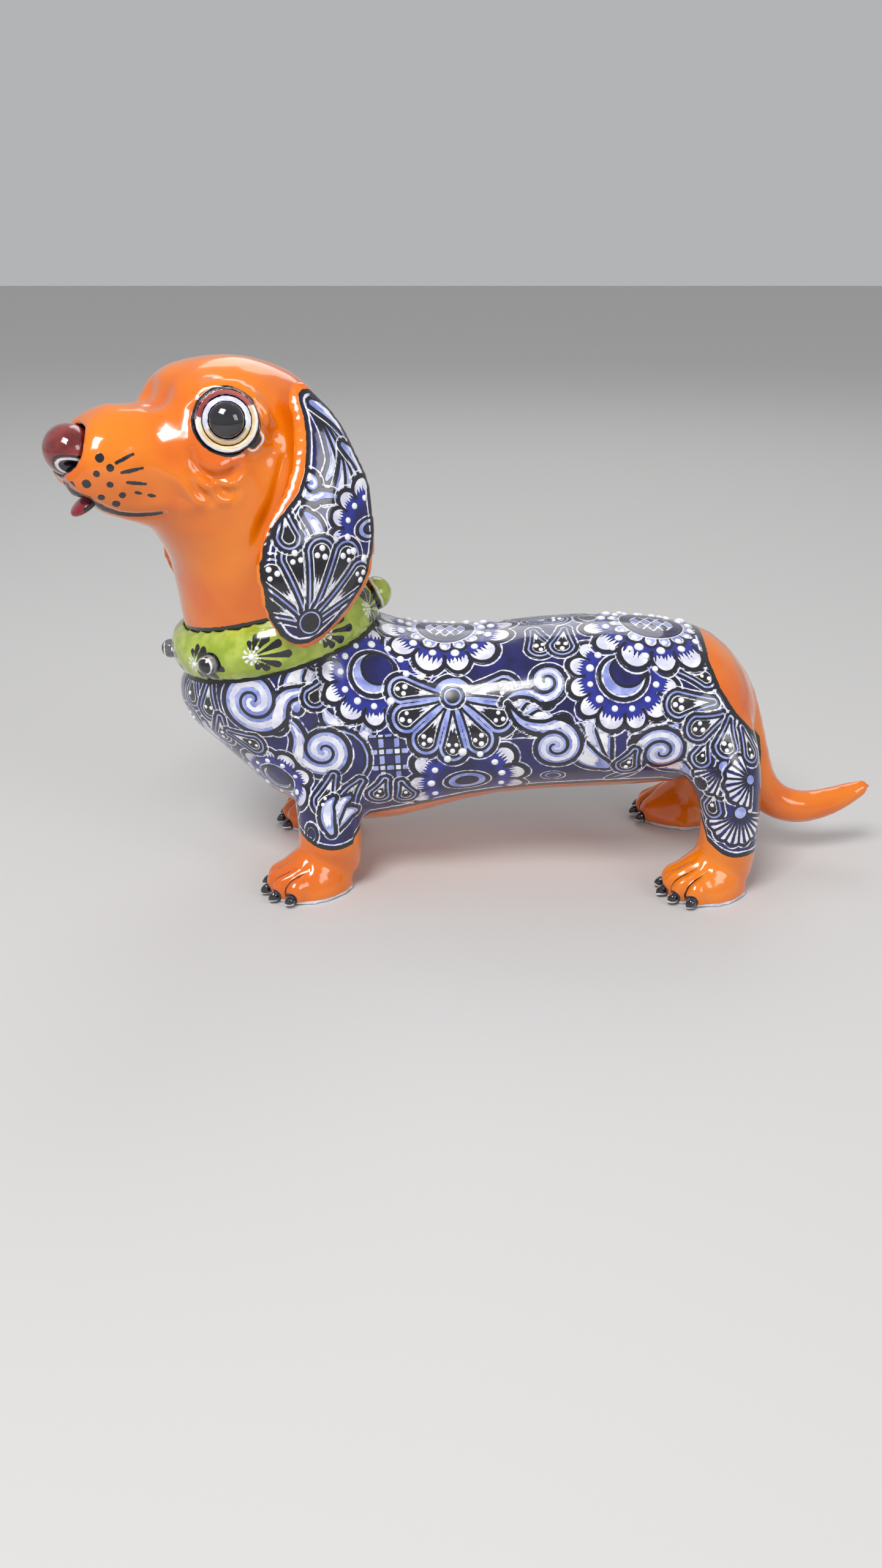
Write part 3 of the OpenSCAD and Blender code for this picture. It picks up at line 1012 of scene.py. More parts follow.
@dataclass(frozen=True)
class PaintedGlaze(Glaze):
    """Glaze over a ground colour that carries the painter's strokes from the mesh's attributes."""

    royal: Colour = (0.018, 0.03, 0.34)
    pale: Colour = (0.19, 0.24, 0.62)
    pale_light: Colour = (0.42, 0.48, 0.82)
    white: Colour = (0.88, 0.88, 0.93)
    ink: Colour = (0.006, 0.006, 0.012)
    orange_deep: Colour = (0.74, 0.13, 0.0015)
    orange_light: Colour = (0.86, 0.22, 0.003)

    def make(self) -> bpy.types.Material:
        """Build the painted glaze."""
        material, graph = self.start()
        where = graph.add("ShaderNodeTexCoord").outputs["Object"]
        low = self.paint_of(graph, "paint_low")
        high = self.paint_of(graph, "paint_high")
        shake = graph.maths("MULTIPLY", graph.maths("SUBTRACT", graph.noise(where, 700.0), 0.5), 0.45)

        def mask(value: bpy.types.NodeSocket, soft: float = 0.09) -> bpy.types.NodeSocket:
            """Where a paint covers."""
            return graph.step(graph.maths("ADD", value, shake), -soft, soft)

        cloud = graph.step(graph.noise(where, 210.0, 3.0), 0.35, 0.65)
        colour = self.drift(graph, 160.0)
        colour = graph.blend(graph.step(low[2], -2.0, 2.2), colour, rgba(self.royal))
        pale = graph.blend(cloud, rgba(self.pale), rgba(self.pale_light))
        colour = graph.blend(mask(low[0]), colour, pale)
        r, g, b = self.white
        greyed = (0.72 * r, 0.72 * g, 0.84 * b)
        white = graph.blend(cloud, rgba(self.white), rgba(greyed))
        colour = graph.blend(mask(low[1], 0.14), colour, white)
        warm = graph.step(graph.noise(where, 38.0, 2.0), 0.3, 0.7)
        orange = graph.blend(warm, rgba(self.orange_deep), rgba(self.orange_light))
        colour = graph.blend(mask(high[2]), colour, orange)
        thin = graph.maths("MULTIPLY", mask(high[1], 0.12), graph.step(cloud, -0.9, 0.4))
        colour = graph.blend(thin, colour, rgba(self.white))
        drawn = mask(high[0], 0.1)
        colour = graph.blend(drawn, colour, rgba(self.ink))
        self.shader(graph, colour, graph.maths("MULTIPLY", drawn, 0.05))
        return material

    def paint_of(self, graph: Graph, name: str) -> list[bpy.types.NodeSocket]:
        """The three paints that one attribute holds."""
        source = graph.add("ShaderNodeAttribute", attribute_name=name)
        split = graph.add("ShaderNodeSeparateXYZ", in_0=source.outputs["Vector"])
        return list(split.outputs)


COAT = PaintedGlaze("painted_coat", (0.004, 0.004, 0.060), (0.009, 0.010, 0.13))
GREEN = PaintedGlaze("green_glaze", (0.30, 0.42, 0.022), (0.50, 0.60, 0.09),
                     pale=(0.55, 0.62, 0.20), pale_light=(0.66, 0.72, 0.34))
SLIP = Glaze("white_slip", (0.82, 0.82, 0.88), (0.92, 0.92, 0.94), 0.14)
INK = PaintedGlaze("ink_glaze", (0.004, 0.004, 0.008), (0.014, 0.014, 0.02), 0.08, 1.0,
                   pale=(0.10, 0.10, 0.12), pale_light=(0.24, 0.24, 0.27))
SCLERA = PaintedGlaze("eye_white", (0.72, 0.46, 0.20), (0.86, 0.72, 0.46), 0.12,
                      pale=(0.20, 0.19, 0.20), pale_light=(0.42, 0.40, 0.40))
LID = PaintedGlaze("eyelid_glaze", (0.70, 0.68, 0.70), (0.88, 0.87, 0.88), 0.12,
                   pale=(0.74, 0.48, 0.22), pale_light=(0.86, 0.72, 0.46),
                   orange_deep=(0.34, 0.035, 0.035), orange_light=(0.52, 0.12, 0.11))
NOSE = PaintedGlaze("nose_glaze", (0.13, 0.006, 0.008), (0.25, 0.028, 0.026), 0.08, 1.0)
TONGUE = PaintedGlaze("tongue_glaze", (0.20, 0.004, 0.012), (0.34, 0.012, 0.04), 0.1)


# ---------------------------------------------------------------------------------------------
# The clay
# ---------------------------------------------------------------------------------------------

@dataclass(frozen=True)
class HeadFrame:
    """Measures in the turned head, in millimetres: forward from the neck, outward, and up."""

    neck: Array
    turn: float

    @classmethod
    def from_model(cls) -> "HeadFrame":
        """Read the head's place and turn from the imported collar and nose."""
        low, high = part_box("collar")
        neck = np.array((low + high) / 2) / MM
        low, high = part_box("nose")
        nose = np.array((low + high) / 2) / MM
        return cls(np.array([neck[0], 0.0, 0.0]), math.atan2(-nose[1], neck[0] - nose[0]))

    def local(self, points: Array) -> Array:
        """Places as forward, to the dog's left, and up."""
        x, y = points[:, 0] - self.neck[0], points[:, 1] - self.neck[1]
        c, s = math.cos(self.turn), math.sin(self.turn)
        return np.stack([-x * c - y * s, x * s - y * c, points[:, 2]], axis=1)

    def world(self, point: Point) -> Point:
        """A place in the dog's frame."""
        c, s = math.cos(self.turn), math.sin(self.turn)
        f, out, z = point
        return (self.neck[0] - f * c + out * s, self.neck[1] - f * s - out * c, z)


def finish(obj: bpy.types.Object, slot: Slot, *nodes: str) -> bpy.types.Object:
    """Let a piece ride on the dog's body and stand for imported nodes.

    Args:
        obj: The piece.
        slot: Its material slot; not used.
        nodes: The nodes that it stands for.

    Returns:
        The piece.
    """
    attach(obj, "root")
    if nodes:
        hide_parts(*nodes)
    log.info("%s: %d faces, stands for %s", obj.name, len(obj.data.polygons), ", ".join(nodes) or "trim")
    return obj


def tree_of(*nodes: str) -> BVHTree:
    """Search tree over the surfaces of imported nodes."""
    bm = cad_copy(*nodes)
    tree = BVHTree.FromBMesh(bm)
    bm.free()
    return tree


def gap_to(points: Array, nodes: Sequence[str], reach: float) -> Array:
    """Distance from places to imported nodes, exact within a reach.

    Args:
        points: Places in millimetres.
        nodes: Names of the nodes.
        reach: Distance beyond which the answer is only a large number.

    Returns:
        The distances in millimetres.
    """
    out = np.full(len(points), 99.0)
    for node in nodes:
        low, high = (np.array(corner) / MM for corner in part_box(node))
        near = np.where(np.all((points > low - reach) & (points < high + reach), axis=1))[0]
        tree = tree_of(node)
        for k in near:
            found = tree.find_nearest(Vector(points[k] * MM), reach * MM)
            if found[3] is not None:
                out[k] = min(out[k], found[3] / MM)
    return out


class Clay:
    """The luted clay body as one smooth skin, then cut into its named pieces."""

    BODY = ("torso", "leg_front_left", "leg_front_right", "leg_rear_left", "leg_rear_right", "tail")
    voxel = 1.6
    rounds = 16
    vent_radius = 3.5
    plug_radius = 5.0
    plug_height = 8.0
    plug_lift = 4.5
    search = 40
    shell_gap = 20.0
    beside_vent = 6.0

    def __init__(self) -> None:
        """Fuse the packed clay parts, smooth their joins and tell the pieces apart."""
        bm = cad_copy(*self.BODY, "head")
        self.vent = self.find_vent()
        plug = Matrix.Translation(self.vent + Vector((0.0, 0.0, self.plug_lift * MM)))
        bmesh.ops.create_cone(bm, cap_ends=True, segments=24, radius1=self.plug_radius * MM,
                              radius2=self.plug_radius * MM, depth=self.plug_height * MM, matrix=plug)
        mesh = voxels(mesh_of(bm, "clay"), self.voxel)
        mesh = outer_skin(mesh, "clay")
        height = places(mesh)[:, 2]
        settle(mesh, self.rounds, 0.3 + 0.7 * smooth_step(height, 5.0, 22.0))
        self.tell_apart(mesh)
        self.mesh = mesh

    def find_vent(self) -> Vector:
        """Middle of the vent's mouth: where a ray from below passes through the belly's wall."""
        tree = tree_of("torso")
        low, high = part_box("torso")
        middle = (low.x + high.x) / 2
        up = Vector((0.0, 0.0, 1.0))
        heights = []
        for step in range(-self.search, self.search + 1):
            x = middle + step * MM
            hit = tree.ray_cast(Vector((x, 0.0, -0.01)), up)[0]
            heights.append((hit.z if hit else 1.0, x))
        usual = sorted(height for height, _ in heights)[len(heights) // 2]
        holes = [x for height, x in heights if height > usual + self.shell_gap * MM]
        x = sum(holes) / len(holes) if holes else middle
        beside = tree.ray_cast(Vector((x, self.beside_vent * MM, -0.01)), up)[0]
        return Vector((x, 0.0, beside.z))

    def tell_apart(self, mesh: bpy.types.Mesh) -> None:
        """Give each face the number of its piece: the legs, the tail, and parts of torso and head."""
        trees = {node: tree_of(node) for node in ("head", *self.BODY)}
        low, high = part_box("torso")
        middle = (low.x + high.x) / 2
        self.heads = ["head_left", "head_right"]
        self.quarters = ["torso_front_left", "torso_front_right", "torso_rear_left", "torso_rear_right"]
        self.names = [*self.heads, *self.BODY[1:], *self.quarters]
        self.marks = [bpy.data.materials.new("mark_" + name) for name in self.names]
        centres = np.array([face.center[:] for face in mesh.polygons]) / MM
        beside = HeadFrame.from_model().local(centres)[:, 1]
        for face, out in zip(mesh.polygons, beside):
            gaps = {node: tree.find_nearest(face.center)[3] for node, tree in trees.items()}
            node = min(gaps, key=gaps.get)
            if node == "torso":
                node = self.quarters[2 * int(face.center.x > middle) + int(face.center.y > 0)]
            elif node == "head":
                node = self.heads[int(out < 0)]
            face.material_index = self.names.index(node)

    def part(self, wanted: Sequence[str], levels: int) -> bpy.types.Mesh:
        """A divided copy of the faces of some pieces.

        Args:
            wanted: Names of the pieces.
            levels: How often each face is divided.

        Returns:
            The copy, whose faces keep the numbers of their pieces.
        """
        bm = bmesh.new()
        bm.from_mesh(self.mesh)
        numbers = {self.names.index(name) for name in wanted}
        other = [face for face in bm.faces if face.material_index not in numbers]
        bmesh.ops.delete(bm, geom=other, context="FACES")
        mesh = mesh_of(bm, wanted[0])
        for mark in self.marks:
            mesh.materials.append(mark)
        return subdivided(mesh, levels)

    def cut(self, mesh: bpy.types.Mesh) -> dict[str, bpy.types.Object]:
        """Cut a divided skin into its pieces.

        Args:
            mesh: The skin.

        Returns:
            The pieces by name.
        """
        obj = link("skin", mesh)
        for other in bpy.context.selected_objects:
            other.select_set(False)
        bpy.context.view_layer.objects.active = obj
        obj.select_set(True)
        bpy.ops.object.mode_set(mode="EDIT")
        bpy.ops.mesh.separate(type="MATERIAL")
        bpy.ops.object.mode_set(mode="OBJECT")
        made = {}
        for piece in list(bpy.context.selected_objects):
            piece.select_set(False)
            name = piece.data.materials[0].name.removeprefix("mark_")
            piece.name = piece.data.name = name + "_clay"
            piece.data.materials.clear()
            made[name] = piece
        return made


def polyline(x: Array, corners: Sequence[Flat]) -> Array:
    """Height of a bent line above each x."""
    xs, ys = zip(*corners)
    return np.interp(x, xs, ys)


@dataclass(frozen=True)
class Coat:
    """Where the painted coat ends and the orange glaze begins, in millimetres."""

    belly: tuple[Flat, ...] = ((-60, -30), (-50, 2), (-45, 21), (-40, 26), (-23, 30), (-7, 33),
                               (14, 35.5), (35, 37), (56, 37.5), (63, 34), (69, 27.5), (71, 20),
                               (74, 4), (80, -30))
    inside: tuple[Flat, ...] = ((-80, 14), (-68, 19), (-45, 20), (55, 20), (75, 22), (100, 20))
    crotch: float = 33.0
    rump: tuple[Flat, ...] = ((40, 92), (46, 91), (54, 85), (62, 77.5), (70, 72), (77, 69), (95, 68))
    front_ankle: tuple[float, float, float] = (18.3, 0.03, -51.0)
    rear_ankle: tuple[float, float, float] = (17.0, 0.05, 80.0)
    sole: float = 1.5

    def orange(self, points: Array) -> Array:
        """How far each place lies inside the orange glaze."""
        x, y, z = points[:, 0], np.abs(points[:, 1]), points[:, 2]
        under = polyline(x, self.belly) - z
        between = np.minimum(polyline(x, self.inside) - y, self.crotch - z)
        between = np.minimum(between, x + 76.0)
        behind = (x - polyline(z, self.rump)) * 0.8
        base, bend, middle = self.front_ankle
        front = np.minimum(base + bend * np.clip(x - middle, -18.0, 18.0) ** 2 - z, -20.0 - x)
        base, bend, middle = self.rear_ankle
        rear = np.minimum(base + bend * np.clip(x - middle, -9.0, 0.0) ** 2 - z, x - 20.0)
        return np.max([under, between, behind, front, rear], axis=0)


LEFT_COAT: tuple[Motif, ...] = (
    Plume((-40, -33, 62), 16, 200, 4, 70), Plume((4, -33, 58), 17, 20, 4, 60),
    Plume((58, -31, 60), 15, 160, 4, 60), Plume((-90, -20, 46), 12, 80, 3, 50),
    Plaid((-33, -33, 49), 13, 17, 3),
    Crescent((-44, -34, 50), 8.5, 10, 3.2),
    Scroll((-54, -33, 52), 11.0, 200, 2.05, 1.3, -1),
    Plume((-62, -32, 66), 15, 60, 3, 42, 0.25, 3.2),
    Scroll((-76, -32, 68), 12.5, 300, 2.1, 1.0, 1),
    Drop((-55, -32, 71), 9, 2.6, 235, 0), Ring((-56, -29, 80), 2.4),
    Flower((-71, -26, 38), 13.5, Heart.CRESCENT, 9, 0.1),
    Drop((-97, -18, 69), 13, 3.0, 270), Drop((-91, -24, 66), 13, 3.0, 262),
    Drop((-88, -24, 55), 11, 2.6, 255, 2),
    Flower((-38, -25, 75), 17.5, Heart.CRESCENT, 12, 0.2),
    Flower((-8, -29, 40), 19.5, Heart.OVAL, 13, 0.5),
    Fan((-13, -29, 69), 19.5, 172, 368, 7, 3.3),
    Scroll((17, -27, 73), 7.5, 250, 2.0, 1.5, -1),
    Plume((37, -33, 44), 19, 106, 3, 40, 0.3, 3.4),
    Scroll((20, -33, 53), 9.6, 60, 2.1, 1.5, 1),
    Ring((20, -28, 41), 3.2, 1.6),
    Flower((41, -27, 75), 18, Heart.CRESCENT, 12, 0.0),
    Plume((62, -32, 42), 16, 100, 3, 40, 0.3, 3.0), Scroll((54, -32, 51), 9.8, 140, 2.1, 1.5, 1),
    Drop((44, -32, 47), 9, 2.8, 250, 2), Drop((66, -27, 77), 11, 2.8, 350, 2),
    Drop((67, -33, 51), 8, 2.4, 250, 2), Drop((70, -37, 34), 9, 2.6, 260, 2),
    Drop((-36, -34, 36), 9, 2.6, 250, 2), Drop((-28, -33, 35), 8, 2.4, 285, 2),
    Drop((-80, -27, 53), 12, 2.8, 340, 2),
    Drop((15, -14, 82), 12, 3.2, 282), Drop((23, -14, 83), 12, 3.2, 262),
    Drop((63, -31, 67), 15, 3.4, 185), Drop((68, -32, 60), 12, 3.4, 200),
    Drop((75, -30, 55), 12, 3.0, 262), Drop((82, -28, 52), 11, 2.6, 270, 2),
    Rosette((74, -35, 47), 10.5, 185, 300, 5), Rosette((83, -34, 42), 9.5, 100, 262, 5),
    Ring((66, -34, 40), 1.8), Rosette((80, -38, 32), 11.5, 200, 340, 6),
    Drop((-53, -35, 38), 12, 2.8, 250, 2), Drop((-45, -33, 36), 12, 2.8, 240),
    Plume((-52, -36, 24), 13, 60, 3, 50, 0.25, 2.2), Ring((-59, -34, 23), 2.2, 0.7),
)
BACK_COAT: tuple[Motif, ...] = (
    Flower((-15, -2, 84), 23.0, Heart.NET, 13, 0.15), Flower((53, -3, 86), 25.0, Heart.NET, 14, 0.35),
    Drop((19, 0, 84), 12, 3.2, 0), Ring((32, 0, 85), 2.2),
)
BREAST_COAT: tuple[Motif, ...] = (
    Fan((-104, 0, 58), 17, 195, 345, 5, 3.2, 0), Flower((-96, 0, 34), 14, Heart.CRESCENT, 10, 0.2),
    Ring((-104, 0, 68), 2.4),
)


def mirrored(motif: Motif, hand: np.random.Generator) -> Motif:
    """The same motif on the other side, set down a little differently."""
    x, y, z = motif.spot
    return replace(motif, spot=(x + hand.uniform(-1.5, 1.5), -y, z + hand.uniform(-1.2, 1.2)))


class Body:
    """Torso, legs and tail, with the painted coat, the orange glaze and the toes."""

    groove = 1.1
    groove_depth = 1.3

    def __init__(self, clay: Clay) -> None:
        """Divide the clay body finely and keep its measures."""
        self.clay = clay
        self.mesh = clay.part(clay.names[2:], 2)

    def build(self) -> list[Array]:
        """Model the toes, paint the coat and cut the pieces.

        Returns:
            The raised dots.
        """
        self.model_toes()
        canvas = Canvas(self.mesh, 11)
        self.paint(canvas)
        canvas.store()
        material = COAT.make()
        for name, obj in self.clay.cut(self.mesh).items():
            obj.data.materials.append(material)
            node = "torso" if name.startswith("torso") else name
            finish(obj, Slot.COAT if node == "torso" else Slot.ORANGE, node)
        return canvas.dots

    def toe_gaps(self) -> list[tuple[Array, Array]]:
        """Lines between neighbouring toes, each from the claws inwards over the paw."""
        gaps = []
        for corner in ("front_left", "front_right", "rear_left", "rear_right"):
            centres = island_middles("claws_" + corner)
            low, high = (np.array(p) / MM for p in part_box("leg_" + corner))
            paw = centres.mean(axis=0) + np.array([15.0, 0.0, 0.0])
            way = centres.mean(axis=0) - paw
            order = np.argsort(np.arctan2(centres[:, 1] - paw[1], paw[0] - centres[:, 0]))
            centres = centres[order]
            for a, b in zip(centres[:-1], centres[1:]):
                start = (a + b) / 2
                inward = (paw - start) / np.linalg.norm(paw - start)
                gaps.append((start[:2] - inward[:2], start[:2] + 9.5 * inward[:2]))
        return gaps

    def model_toes(self) -> None:
        """Press the grooves between the toes and the vent under the belly."""
        points, out = places(self.mesh), normals(self.mesh)
        for start, end in self.toe_gaps():
            gap, t = distance_to_path(points[:, :2], np.stack([start, end]))
            low = points[:, 2] < 15.0
            depth = self.groove_depth * np.exp(-(gap / self.groove) ** 2) * (1.0 - 0.6 * t) * low
            points -= out * depth[:, None]
        vent = np.array(self.clay.vent) / MM
        gap = np.hypot(points[:, 0] - vent[0], points[:, 1] - vent[1])
        sunk = 4.0 * smooth_step(-gap, -self.clay.vent_radius - 0.5, -self.clay.vent_radius + 0.5)
        points[:, 2] += sunk * (points[:, 2] < 45.0)
        points[:, 2] = np.maximum(points[:, 2], 0.0)
        set_places(self.mesh, points)

    def paint(self, canvas: Canvas) -> None:
        """Paint the motifs, then the orange glaze and the ink lines along its edge."""
        hand = np.random.default_rng(5)
        right = [mirrored(motif, hand) for motif in LEFT_COAT]
        for motif in (*LEFT_COAT, *right, *BREAST_COAT, *BACK_COAT):
            motif.paint(canvas)
        points, paint, coat = canvas.points, canvas.paint, Coat()
        orange = coat.orange(points)
        sole = coat.sole - points[:, 2]
        paint[Pot.WHITE] = np.maximum(paint[Pot.WHITE], sole)
        paint[Pot.ORANGE] = np.minimum(orange, -sole)
        for pot in (Pot.INK, Pot.LINE):
            paint[pot] = np.minimum(paint[pot], -orange)
        low = points[:, 2] > 8.0
        paint[Pot.INK] = np.maximum(paint[Pot.INK], np.where(low, 0.62 - np.abs(orange), -3.0))
        paint[Pot.LINE] = np.maximum(paint[Pot.LINE], 0.24 - np.abs(orange + 1.35))
        around = gap_to(points, ["collar"], 2.0)
        paint[Pot.INK] = np.maximum(paint[Pot.INK], 0.9 - around)
        claws = ["claws_front_left", "claws_front_right", "claws_rear_left", "claws_rear_right"]
        paint[Pot.INK] = np.maximum(paint[Pot.INK], 0.55 - gap_to(points, claws, 2.0))
        for start, end in self.toe_gaps():
            gap, t = distance_to_path(points[:, :2], np.stack([start, end]))
            line = np.where(points[:, 2] < 15.0, 0.62 * (1.0 - t) - gap, -3.0)
            paint[Pot.INK] = np.maximum(paint[Pot.INK], np.where(points[:, 2] > 1.0, line, -3.0))
        kept = [dot for dot in canvas.dots if coat.orange(dot[0][None, :])[0] < -1.2]
        canvas.dots[:] = apart(kept, 2.1)


def apart(dots: list[tuple[Array, Array, float]], gap: float) -> list[tuple[Array, Array, float]]:
    """Leave out older dots that a newer one would touch."""
    kept: list[tuple[Array, Array, float]] = []
    for dot in reversed(dots):
        if all(np.linalg.norm(dot[0] - other[0]) > gap for other in kept):
            kept.append(dot)
    return kept


def island_middles(node: str) -> Array:
    """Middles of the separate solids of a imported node, in millimetres."""
    bm = cad_copy(node)
    left = set(bm.verts)
    middles = []
    while left:
        front = [left.pop()]
        island = list(front)
        while front:
            for edge in front.pop().link_edges:
                for vert in edge.verts:
                    if vert in left:
                        left.remove(vert)
                        island.append(vert)
                        front.append(vert)
        spots = np.array([v.co[:] for v in island]) / MM
        middles.append((spots.min(axis=0) + spots.max(axis=0)) / 2)
    bm.free()
    return np.array(middles)


class Head:
    """The head's clay: muzzle, lips, cheeks and the folds under the eyes, with its painted lines."""

    mouth = ((68.5, 0.0, 139.0), (67.0, 3.0, 137.3), (65.4, 5.2, 134.9), (60.7, 7.3, 131.9),
             (56.0, 8.2, 129.0), (51.9, 9.2, 127.4), (46.8, 11.0, 127.0), (42.0, 13.0, 127.8))
    folds = (((34.6, 22.0, 146.5), (34.1, 22.8, 142.4), (31.4, 24.1, 139.5), (26.8, 25.6, 138.8),
              (22.5, 26.2, 140.8)),
             ((36.0, 22.6, 139.5), (34.0, 23.2, 135.0), (31.0, 24.0, 132.5)),
             ((30.0, 24.9, 137.0), (27.0, 25.5, 134.6), (24.5, 25.9, 134.0)),
             ((15.0, 26.1, 158.5), (13.0, 26.7, 152.5), (9.0, 24.7, 147.0)))
    cheek = ((46.0, 16.8, 146.0), (42.5, 18.0, 141.5), (38.5, 20.0, 138.5), (35.5, 21.7, 135.0),
             (35.0, 22.0, 131.0), (39.0, 18.0, 128.5))
    ear_crease = ((5.5, 28.0, 150.0), (9.0, 28.0, 140.0), (13.5, 28.0, 129.0), (20.0, 28.0, 117.0))
    freckles = ((59.5, 13.7, 145.6), (57.0, 14.8, 142.7), (60.7, 13.2, 141.1), (66.1, 7.4, 137.9),
                (63.1, 10.9, 138.2), (57.3, 13.9, 137.8), (62.0, 8.2, 133.8), (59.2, 11.0, 134.1),
                (53.8, 13.8, 134.4), (55.1, 11.5, 132.0))
    whiskers = (((55.3, 15.2, 144.0), (50.2, 15.7, 146.2)), ((54.1, 15.6, 141.2), (48.1, 16.5, 142.1)),
                ((52.6, 15.4, 138.2), (47.4, 16.2, 137.4)), ((50.0, 14.8, 135.1), (48.6, 15.2, 134.6)),
                ((46.4, 15.4, 134.0), (44.6, 15.7, 133.6)))

    bosses = (((45.5, 0.0, 157.0), 4.5, -0.6), ((49.5, 0.0, 157.5), 4.5, 0.2),
              ((38.0, 6.0, 160.8), 5.0, -3.2), ((37.5, 0.0, 161.0), 3.5, -0.8),
              ((31.0, 15.0, 165.0), 6.0, 0.8),
              ((27.5, 24.0, 143.0), 3.6, 0.9), ((40.0, 20.0, 149.0), 5.0, 0.8),
              ((59.0, 0.0, 153.5), 6.0, -0.5))

    def __init__(self, clay: Clay) -> None:
        """Divide the clay head and keep its measures."""
        self.clay = clay
        self.frame = HeadFrame.from_model()
        self.mesh = clay.part(clay.heads, 2)

    def both(self, path: Sequence[Point]) -> list[Array]:
        """A path in the head, on the left and mirrored to the right."""
        lines = []
        for side in (1.0, -1.0):
            lines.append(curve_through([(f, side * out, z) for f, out, z in path]))
        return lines

    def side_gap(self, local: Array, path: Sequence[Point]) -> tuple[Array, Array]:
        """Distance to a line that is drawn on both sides, seen nearly from the side."""
        squash = np.array([1.0, 0.08, 1.0])
        folded = np.stack([local[:, 0], np.abs(local[:, 1]), local[:, 2]], axis=1)
        return distance_to_path(folded * squash, curve_through(path) * squash)

    def model(self) -> None:
        """Press the mouth and the folds, and raise the lips and cheeks."""
        points, out = places(self.mesh), normals(self.mesh)
        local = self.frame.local(points)
        rise = np.zeros(len(points))
        for place, size, height in self.bosses:
            for side in (1.0, -1.0):
                gap = np.linalg.norm(local - np.array([place[0], side * place[1], place[2]]), axis=1)
                rise += height * np.exp(-(gap / size) ** 2)
        gap, t = self.side_gap(local, self.mouth)
        rise -= 1.7 * np.exp(-(gap / 1.1) ** 2) * (1.0 - 0.5 * smooth_step(t, 0.8, 1.0))
        for path in self.both([(f, s + 0.6, z + 3.6) for f, s, z in self.mouth[1:]]):
            gap, _ = distance_to_path(local, path)
            rise += 0.9 * np.exp(-(gap / 3.2) ** 2)
        for number, fold in enumerate(self.folds):
            for path in self.both(fold):
                gap, t = distance_to_path(local, path)
                fade = np.sin(math.pi * np.clip(0.1 + 0.8 * t, 0.0, 1.0))
                rise -= (1.5 if number < 3 else 0.7) * np.exp(-(gap / 1.4) ** 2) * fade
                rise += 0.55 * np.exp(-((gap - 3.0) / 1.6) ** 2) * fade
        for path in self.both(self.cheek):
            gap, t = distance_to_path(local, path)
            rise += 1.1 * np.exp(-(gap / 2.8) ** 2) * np.sin(math.pi * np.clip(0.08 + 0.84 * t, 0, 1))
        for path in self.both(self.ear_crease):
            gap, _ = distance_to_path(local, path)
            rise -= 0.9 * np.exp(-(gap / 1.8) ** 2)
        set_places(self.mesh, points + out * rise[:, None])

    def paint(self, canvas: Canvas) -> None:
        """Orange all over, then the ink lines of mouth, whiskers, freckles, nose and eyes."""
        points = canvas.points
        local = self.frame.local(points)
        canvas.paint[Pot.ORANGE] = np.full(len(points), 4.0)
        ink, white = canvas.paint[Pot.INK], canvas.paint[Pot.LINE]
        gap, t = self.side_gap(local, self.mouth)
        np.maximum(ink, 0.4 + 0.6 * (1.0 - np.clip(t, 0, 1)) ** 0.5 - gap, out=ink)
        for f, out, z in self.freckles:
            for side in (1.0, -1.0):
                gap = np.linalg.norm(local - np.array([f, side * out, z]), axis=1)
                np.maximum(ink, 1.15 + 0.2 * math.sin(7.0 * f) - gap, out=ink)
        for whisker in self.whiskers:
            for path in self.both(whisker):
                gap, t = distance_to_path(local, path)
                np.maximum(ink, 0.62 - 0.4 * np.abs(t - 0.4) - gap, out=ink)
        np.maximum(ink, 1.0 - gap_to(points, ["nose"], 3.0), out=ink)
        np.maximum(ink, 1.0 - gap_to(points, ["tongue"], 3.0), out=ink)
        np.maximum(ink, 0.9 - gap_to(points, ["collar"], 3.0), out=ink)
        eyes = gap_to(points, ["eyelid_left", "eyelid_right"], 4.0)
        np.maximum(ink, 0.9 - eyes, out=ink)
        for path in self.both(((17.8, 26.4, 150.8), (16.2, 26.6, 149.2), (17.6, 26.6, 147.6))):
            gap, _ = distance_to_path(local, path)
            np.maximum(ink, 1.3 - gap, out=ink)
            np.maximum(white, 0.3 - np.abs(gap - 1.9), out=white)

    def build(self) -> None:
        """Model, paint and place the head."""
        self.model()
        canvas = Canvas(self.mesh, 21)
        self.paint(canvas)
        canvas.store()
        material = COAT.make()
        for name, obj in self.clay.cut(self.mesh).items():
            obj.data.materials.append(material)
            finish(obj, Slot.ORANGE, "head")


class Dots:
    """Raised dots of white slip."""

    def build(self, name: str, dots: list[tuple[Array, Array, float]], slot: Slot,
              material: bpy.types.Material) -> None:
        """Set every dot as a low dome.

        Args:
            name: Name of the piece.
            dots: Place, direction and radius of each dot.
            slot: Material slot of the piece.
            material: Its material.
        """
        bm = bmesh.new()
        for place, out, size in dots:
            turn = Vector(out).to_track_quat("Z", "Y").to_matrix().to_4x4()
            shape = Matrix.Translation(Vector(place) * MM) @ turn @ Matrix.Diagonal((1, 1, 0.5, 1))
            bmesh.ops.create_uvsphere(bm, u_segments=10, v_segments=6, radius=size * MM, matrix=shape)
        obj = link(name, mesh_of(bm, name))
        obj.data.materials.append(material)
        finish(obj, slot)


